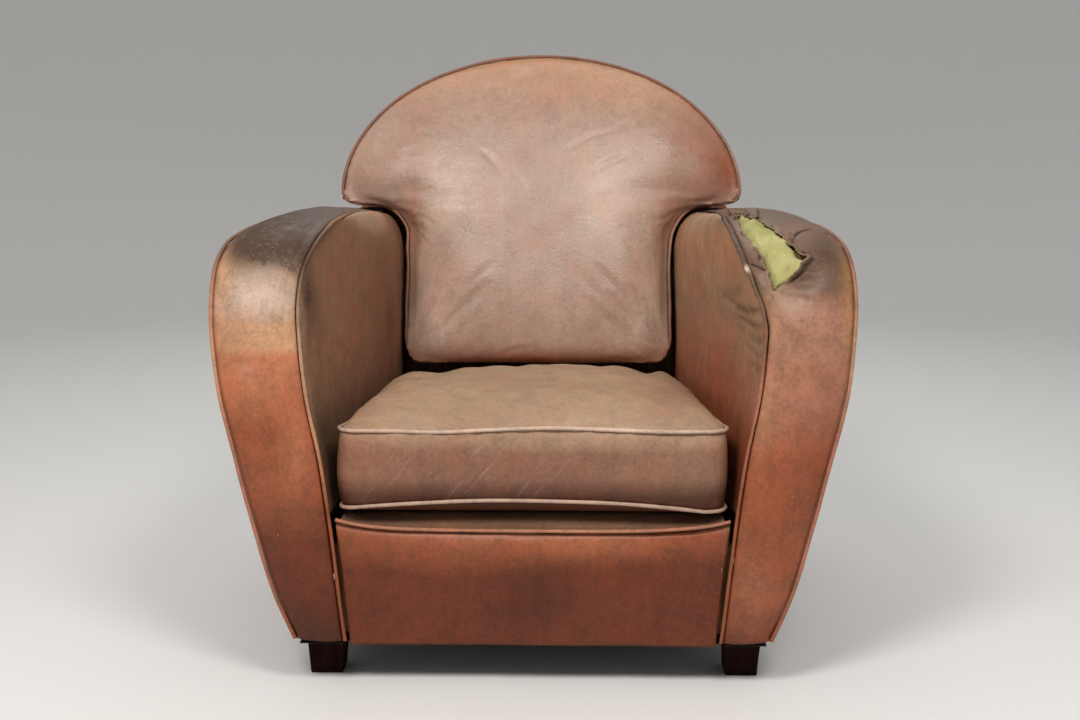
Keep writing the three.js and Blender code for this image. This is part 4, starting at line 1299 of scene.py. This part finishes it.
def makeCushion():
    piece = cubePiece('seatCushion', 47)
    cube = getPoints(piece)
    through = cube[:, 2]
    side = (1 - through ** 2) ** 0.8 * cushion['bulge'] - cushion['inset']
    x, y, share = cushionPlan(cube[:, 0], cube[:, 1])
    wide, deep, _ = cushionPlan(cube[:, 0], cube[:, 1], 1.0)
    push = np.stack([wide - x, deep - y], axis=1)
    push = push / (np.linalg.norm(push, axis=1, keepdims=True) + 1e-9)
    edge = (share > 0.999)[:, None]
    inward = np.where(edge, push * side[:, None], 0)
    x, y = x + inward[:, 0], y + inward[:, 1]
    puff = np.exp(-((np.abs(cube[:, 0]) - 0.90) / 0.09) ** 2) * (1 - cube[:, 1] ** 6) * cushion['sidePuff']
    spill = 1 + 0.020 * puff / cushion['sidePuff']   # the full sides lean out over the piping
    x, y = x * np.where(share < 0.999, 0.985 * spill, 1), blend(y, -0.19, np.where(share < 0.999, 0.012, 0))
    dome = (1 - np.abs(cube[:, 0]) ** 7) ** 0.7 * (1 - np.abs(cube[:, 1]) ** 4.5) ** 0.8
    crown = cushion['crown'] + cushion['rearRise'] * ramp(y, -0.26, -0.04)
    top = cushion['top'] + topRise(x) * share + crown * dome + puff * (share < 0.999) - rearDrop(x, y)
    arched = seamRise(x, y)
    bottom = cushion['bottom'] + arched - 0.003 * dome - (arched + 0.004) * ramp(1 - share, 0, 0.06)
    z = blend(bottom, top, (through + 1) / 2)
    setPoints(piece, np.stack([x, y, z], axis=1))
    fixNormals(piece)
    applyModifier(piece, 'REMESH', mode='VOXEL', voxel_size=cushion['voxel'])
    points = getPoints(piece)
    top = cushion['top'] + topRise(points[:, 0]) - rearDrop(points[:, 0], points[:, 1])
    bottom = cushion['bottom'] + seamRise(points[:, 0], points[:, 1])
    near = np.minimum(np.abs(points[:, 2] - top), np.abs(points[:, 2] - bottom))
    half = cushionHalf(points[:, 1])
    rim = np.minimum(points[:, 1] - cushion['front'], cushion['rear'] - points[:, 1])
    rim = np.minimum(half - np.abs(points[:, 0]), rim)
    sewn = ((near < 0.006) & (rim < 0.012)) | (points[:, 2] < 0.2345)
    swell(piece, cushion['pressure'], cushion['cap'], sewn)
    applyModifier(piece, 'SMOOTH', factor=0.5, iterations=5)
    applyModifier(piece, 'SUBSURF', levels=1, render_levels=1)
    points, normals = getPoints(piece), getNormals(piece)
    level = (points[:, 2] - 0.24) / 0.105
    showing = ramp(points[:, 2], 0.245, 0.262)
    wave = showing * (0.0014 * ripple(points, 0.10, 81) + 0.0005 * ripple(points, 0.028, 82))
    points = points + normals * wave[:, None]
    # small puckers where the panels gather into the seams
    gather = np.exp(-((level - 1) / 0.13) ** 2) + np.exp(-((level - 0.08) / 0.16) ** 2)
    gather *= 1 - ramp(np.abs(normals[:, 2]), 0.5, 0.9)
    pucker = cushion['pucker'] * gather * np.sin(points[:, 0] * 210 + 3 * ripple(points, 0.08, 83))
    setPoints(piece, creased(points + normals * pucker[:, None], normals, cushion['folds']))
    points = getPoints(piece)
    points[:, 2] = np.maximum(points[:, 2], cushion['foot'])
    setPoints(piece, points)
    smooth(piece)
    return piece


print("making the seat cushion")
seatCushion = makeCushion()
tint(seatCushion,
     [(0.23, 'darkBrown'), (0.258, 'darkCocoa'), (0.282, 'cocoa'), (0.318, 'cocoa'), (0.342, 'taupe'),
      (0.37, 'taupe')],
     [((0.1, -0.3, 0.36), (0.12, 0.12, 0.03), 'sand', 0.5),
      ((0.0, -0.05, 0.36), (0.2, 0.14, 0.03), 'sage', 0.55),
      ((0.18, -0.43, 0.3), (0.07, 0.03, 0.04), 'taupe', 0.3),
      ((-0.1, -0.33, 0.36), (0.08, 0.07, 0.03), 'sand', 0.35),
      ((0.18, -0.25, 0.36), (0.06, 0.14, 0.03), 'cocoa', 0.45),
      ((0.05, -0.43, 0.332), (0.22, 0.03, 0.012), 'pinkTan', 0.35),
      ((0.05, -0.43, 0.27), (0.18, 0.03, 0.014), 'darkCocoa', 0.4),
      ((-0.22, -0.43, 0.29), (0.03, 0.03, 0.05), 'rose', 0.4)], wander=0.004)
soil(seatCushion,
     [((-0.05, -0.1, 0.366), (0.15, 0.12, 0.02), 0.22), ((0.06, -0.43, 0.29), (0.1, 0.04, 0.03), 0.15)],
     [((0.1, -0.4, 0.35), (0.12, 0.02, 0.01), 0.35)],
     # the third list paints pale highlight lines along the creases on the front
     [((-0.085, -0.43, 0.29), (0.085, 0.03, 0.034), 1.0),
      ((0.04, -0.43, 0.28), (0.05, 0.03, 0.02), 0.4)])
finishLeather(seatCushion, 'cushion', 'seat_cushion_cover', 'seat_cushion_foam')

apron = {'grid': (160, 60), 'y': -0.408, 'belly': 0.006, 'low': 0.212, 'high': 0.226, 'bottom': 0.057}
deckSheet = {
    'grid': (64, 64), 'front': -0.4075, 'rear': 0.130, 'frontHalf': 0.250, 'rearHalf': 0.205,
    'height': 0.2288,
}


def apronTop(side):
    return blend(apron['low'], apron['high'], 0.75 * np.abs(side) ** 7 + 0.25 * side ** 2)


def onApron(u, v):
    side = 2 * u - 1
    z = blend(apron['bottom'], apronTop(side) - 0.0040, v)
    half = seamAt(innerSeam, z) - 0.0060
    y = apron['y'] - apron['belly'] * (1 - side ** 2) * np.sin(math.pi * v)
    y += 0.004 * np.exp(-((1 - v) / 0.03) ** 2)
    return np.stack([half * side, y, z], axis=1)


def onDeck(u, v):
    side = 2 * u - 1
    y = blend(deckSheet['front'], deckSheet['rear'], v ** 1.4)
    toBack = ramp(y, armWall['front'], 0.020)
    half = blend(deckSheet['frontHalf'], deckSheet['rearHalf'], toBack) - 0.001
    z = blend(apronTop(side) + 0.0005, deckSheet['height'], ramp(y, apron['y'], -0.372))
    return np.stack([half * side, y, z], axis=1)


print("making the apron and deck")
apronPiece = gridPiece('frontApron', *apron['grid'], onApron)
faceAway(apronPiece, (0, 0.2, 0.14))
soften(apronPiece, 0.10, 0.0009, 91, [
    ((-0.04, -0.412, 0.203), (0.02, -0.412, 0.201), 0.003, 0.0010),
    ((-0.02, -0.414, 0.17), (-0.015, -0.414, 0.10), 0.004, 0.0010)])
thicken(apronPiece)
tint(apronPiece,
     [(0.06, 'redBrown'), (0.085, 'redBrown'), (0.15, 'redBrown'), (0.195, 'russet'), (0.215, 'rose')],
     [((0.0, -0.41, 0.13), (0.06, 0.05, 0.05), 'darkBrown', 0.7),
      ((0.06, -0.41, 0.2), (0.12, 0.05, 0.02), 'copper', 0.5)], wander=0.012)
soil(apronPiece,
     [((0.02, -0.41, 0.12), (0.05, 0.03, 0.05), 0.12), ((0, -0.41, 0.058), (0.3, 0.03, 0.006), 0.4)])
finishLeather(apronPiece, 'arm', 'front_apron_cover')

deck = gridPiece('seatDeck', *deckSheet['grid'], onDeck)
faceAway(deck, (0, -0.2, 0.0))
thicken(deck)
tint(deck, [(0.20, 'umber'), (0.24, 'umber')], [((0, -0.40, 0.22), (0.3, 0.03, 0.02), 'olive', 0.3)])
soil(deck, [((0, -0.2, 0.229), (0.3, 0.3, 0.03), 0.4)])
finishLeather(deck, 'side', 'deck_cover', 'deck_foam')

cord = {'radius': 0.0025, 'step': 0.0035, 'slack': 0.0004, 'tuck': 0.009}


def finishPiping(name, node, points, closed, heights, patches, seed):
    piece = tube(name, evenly(points, cord['step'], closed), closed, seed)
    tint(piece, heights, patches, seed=seed)
    soil(piece, [])
    finishLeather(piece, 'piping', node)


def makeWornPiping(inner):
    # the right arm's inner piping is flattened and chipped beside the tear
    chip = tuple(innerEdge(np.array([7.27]), True)[0] + np.array([0, -0.002, 0.002]))
    piping = tube('rightArmInnerPiping', evenly(inner, cord['step']), False, 104)
    points = getPoints(piping)
    beyond = np.maximum(np.abs(points[:, 1] + 0.31) - 0.07, 0)
    worn = np.exp(-(beyond / 0.02) ** 2) * ramp(points[:, 2], 0.5, 0.55)
    line = evenly(inner, 0.002)
    closest = line[np.array([np.argmin(((line - p) ** 2).sum(axis=1)) for p in points])]
    outward = points - closest
    scale = np.stack([1 + 0.55 * worn, np.ones_like(worn), 1 - 0.45 * worn], axis=1)
    points = closest + outward * scale + np.array([0, 0, -0.0018]) * worn[:, None]
    points = points + outward * (0.16 * worn * ripple(points, 0.008, 105))[:, None]
    setPoints(piping, points)
    tint(piping,
         [(0.06, 'russet'), (0.25, 'russet'), (0.38, 'rose'), (0.52, 'umber'), (0.6, 'greyBrown')],
         [(chip, (0.004, 0.004, 0.005), 'paleHideAndSheen', 1.0)], seed=104)
    soil(piping, [((0.28, -0.31, 0.60), (0.03, 0.08, 0.04), 0.4)], [(chip, (0.005, 0.005, 0.006), 1.0)])
    finishLeather(piping, 'piping', 'right_arm_inner_piping')


print("making the pipings")
fine = np.linspace(0, 1, 900)
for side, sign in (('left', -1), ('right', 1)):
    line = seam(outerSeam, fine * lastRow) * np.array([sign, 1, 1])
    finishPiping(side + 'ArmOuterPiping', side + '_arm_outer_piping', line, False,
                 [(0.06, 'russet'), (0.20, 'rose'), (0.35, 'rose'), (0.45, 'tan'), (0.55, 'rose'),
                  (0.60, 'cocoa')],
                 [((sign * 0.40, -0.36, 0.57), (0.03, 0.08, 0.03), 'umber', 0.5)], 101)
    if side == 'left':
        finishPiping('leftArmInnerPiping', 'left_arm_inner_piping',
                     innerEdge(fine * insideEndRow) * np.array([-1, 1, 1]), False,
                     [(0.06, 'russet'), (0.25, 'russet'), (0.36, 'tan'), (0.50, 'taupe'), (0.56, 'greyBrown'),
                      (0.60, 'umber')],
                     [((-0.27, -0.25, 0.60), (0.02, 0.06, 0.03), 'amber', 0.5)], 103)
    else:
        makeWornPiping(innerEdge(fine * insideEndRow, True))

padEdge = squareOff(padOutline(500))
underEar = ramp(np.abs(padEdge[:, 0]), 0.225, 0.25) * (1 - ramp(padEdge[:, 2], 0.606, 0.655))
padEdge[:, 1] += cord['tuck'] * underEar   # and under the ears it lies behind the pad
padEdge[:, 1] += cord['tuck'] * (1 - ramp(padEdge[:, 2], 0.362, 0.400))   # its lower run lies under the belly
finishPiping('insideBackPiping', 'inside_back_piping', padEdge, True,
             [(0.36, 'redBrown'), (0.45, 'cocoa'), (0.62, 'cocoa'), (0.84, 'cocoa')],
             [((0.206, 0.1, 0.47), (0.02, 0.1, 0.12), 'pinkTan', 0.5),
              ((0.3, 0.1, 0.66), (0.04, 0.1, 0.06), 'pinkTan', 0.6)], 106)


def cushionRing(outset):
    run = np.linspace(-1, 1, 160)[:-1]
    one = np.ones_like(run)
    across = np.concatenate([run, one, -run, -one])
    along = np.concatenate([-one, run, one, -run])
    x, y, _ = cushionPlan(across, along, outset)
    return x, y


x, y = cushionRing(-0.0012)
rise = topRise(x) * (1 - ramp(y, -0.36, -0.2)) - rearDrop(x, y)
rise -= 0.004 * ramp(y, -0.400, -0.34) * (1 - ramp(y, -0.02, 0.03))
topSeam = np.stack([x, y, cushion['top'] + rise], axis=1)
bottomSeam = np.stack([x, y, cushion['bottom'] + seamRise(x, y)], axis=1)
# the pale patches along the front of both cushion pipings are painted highlights
finishPiping('cushionTopPiping', 'seat_cushion_top_piping', topSeam, True,
             [(0.33, 'pinkTan'), (0.36, 'pinkTan')],
             [((0.0, -0.42, 0.35), (0.3, 0.03, 0.02), 'paleHideAndSheen', 0.8)], 107)
finishPiping('cushionBottomPiping', 'seat_cushion_bottom_piping', bottomSeam, True,
             [(0.23, 'pinkTan'), (0.26, 'pinkTan')],
             [((0.0, -0.42, 0.25), (0.25, 0.03, 0.02), 'paleHideAndSheen', 0.4)], 108)
across = np.linspace(-1, 1, 300)
topLine = apronTop(across)
apronHalf = seamAt(innerSeam, topLine) - 0.0065
apronSeam = np.stack([apronHalf * across, np.full_like(across, apron['y'] - 0.0005), topLine], axis=1)
finishPiping('apronPiping', 'front_apron_piping', apronSeam, False, [(0.20, 'rose'), (0.23, 'rose')],
             [((0.0, -0.41, 0.21), (0.25, 0.03, 0.02), 'tan', 0.3)], 109)

foot = {'height': 0.0585, 'top': 0.052, 'bottom': 0.043, 'bevel': 0.0022}


def makeFoot(name, node):
    low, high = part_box(node)
    middle = (np.array(low) + np.array(high)) / 2
    deselectAll()
    bpy.ops.mesh.primitive_cube_add(size=1)
    piece = named(bpy.context.object, name)
    points = getPoints(piece)
    width = np.where(points[:, 2] > 0, foot['top'], foot['bottom'])
    points[:, 0] = points[:, 0] * width + middle[0]
    points[:, 1] = points[:, 1] * width + middle[1]
    points[:, 2] = (points[:, 2] + 0.5) * foot['height']
    setPoints(piece, points)
    bpy.ops.object.mode_set(mode='EDIT')
    bpy.ops.mesh.select_all(action='SELECT')
    bpy.ops.mesh.bevel(offset=foot['bevel'], segments=3, affect='EDGES')
    bpy.ops.mesh.subdivide(number_cuts=3)
    bpy.ops.object.mode_set(mode='OBJECT')
    points, normals = getPoints(piece), getNormals(piece)
    worn = 0.0005 * ripple(points, 0.012, 111) * ramp(points[:, 2], 0.002, 0.010)
    setPoints(piece, points - normals * np.clip(worn, 0, 1)[:, None])
    pick(piece)
    bpy.ops.object.shade_smooth_by_angle(angle=math.radians(40))
    finishPiece(piece, finishes['footWood'], 'foot_wood', node)


print("making the feet")
for node in ('left_front_foot', 'right_front_foot', 'left_rear_foot', 'right_rear_foot'):
    makeFoot(node.split('_')[0] + node.split('_')[1].title() + 'Foot', node)

# The frame, the springs and the plain cloth keep their shapes and are only given a finish.
kept = {
    'frameWood': [side + part for side in ('left', 'right') for part in (
        '_side_seat_rail', '_front_corner_block', '_rear_corner_block', '_arm_front_board', '_arm_top_rail',
        '_back_post')] + ['front_seat_rail', 'rear_seat_rail', 'back_top_rail', 'back_lower_rail'],
    'steel': ['seat_spring_%d' % number for number in range(1, 6)],
    'webbing': ['back_strap_%d' % number for number in range(1, 4)],
    'blackCloth': ['dust_cover', 'seat_cushion_zip'],
}
nodes = {thing.name: thing for thing in bpy.data.objects}
for finish, names in kept.items():
    for name in names:
        for spot in nodes[name].material_slots:
            spot.material = finishes[finish]

print("setting the studio")
deselectAll()
bpy.ops.mesh.primitive_grid_add(x_subdivisions=90, y_subdivisions=90, size=22)
floor = named(bpy.context.object, 'studioFloor')
points = getPoints(floor)
away = np.hypot(points[:, 0], points[:, 1])
points[:, 2] = 0.32 * np.clip(away - 3.6, 0, None) ** 1.8
setPoints(floor, points)
smooth(floor)
paper = Board('paleStudioPaper')
floor.data.materials.append(paper.finish(Base_Color=(0.80, 0.79, 0.77), Roughness=0.9))

studio = {
    'lights': {
        'keyLight': {'place': (-0.85, -2.0, 2.4), 'size': 0.8, 'power': 44, 'color': (1.0, 0.96, 0.92)},
        'secondLight': {'place': (0.78, -1.95, 2.45), 'size': 0.8, 'power': 32, 'color': (1.0, 0.96, 0.93)},
        'fillLight': {'place': (0.0, 1.8, 3.0), 'size': 2.5, 'power': 24, 'color': (0.94, 0.97, 1.0)},
    },
    'aim': (0, 0, 0.45),
    'roomColor': (0.96, 0.98, 1.0), 'roomStrength': 0.42,
    'camera': (0.048, -2.29, 0.745), 'lens': 50,    # its place in metres and its lens in mm
    'lookDown': 9.30, 'lookLeft': 1.16,             # degrees
}
for name, light in studio['lights'].items():
    data = bpy.data.lights.new(name, 'AREA')
    data.shape = 'DISK'
    data.size = light['size']
    data.energy = light['power']
    data.color = light['color']
    lamp = bpy.data.objects.new(name, data)
    bpy.context.collection.objects.link(lamp)
    lamp.location = light['place']
    toward = np.array(studio['aim']) - np.array(light['place'])
    lamp.rotation_euler = (math.acos(-toward[2] / np.linalg.norm(toward)), 0,
                           math.atan2(toward[1], toward[0]) - math.pi / 2)

world = bpy.data.worlds.new('softRoom')
bpy.context.scene.world = world
world.use_nodes = True
background = world.node_tree.nodes['Background'].inputs
background['Color'].default_value = (*studio['roomColor'], 1)
background['Strength'].default_value = studio['roomStrength']
bpy.context.scene.view_settings.view_transform = 'Standard'

cameraData = bpy.data.cameras.new('viewer')
cameraData.lens = studio['lens']
cameraData.sensor_width = 36
viewer = bpy.data.objects.new('viewer', cameraData)
bpy.context.collection.objects.link(viewer)
viewer.location = studio['camera']
viewer.rotation_euler = (math.radians(90 - studio['lookDown']), 0, math.radians(studio['lookLeft']))
bpy.context.scene.camera = viewer

deselectAll()
print("finishing")
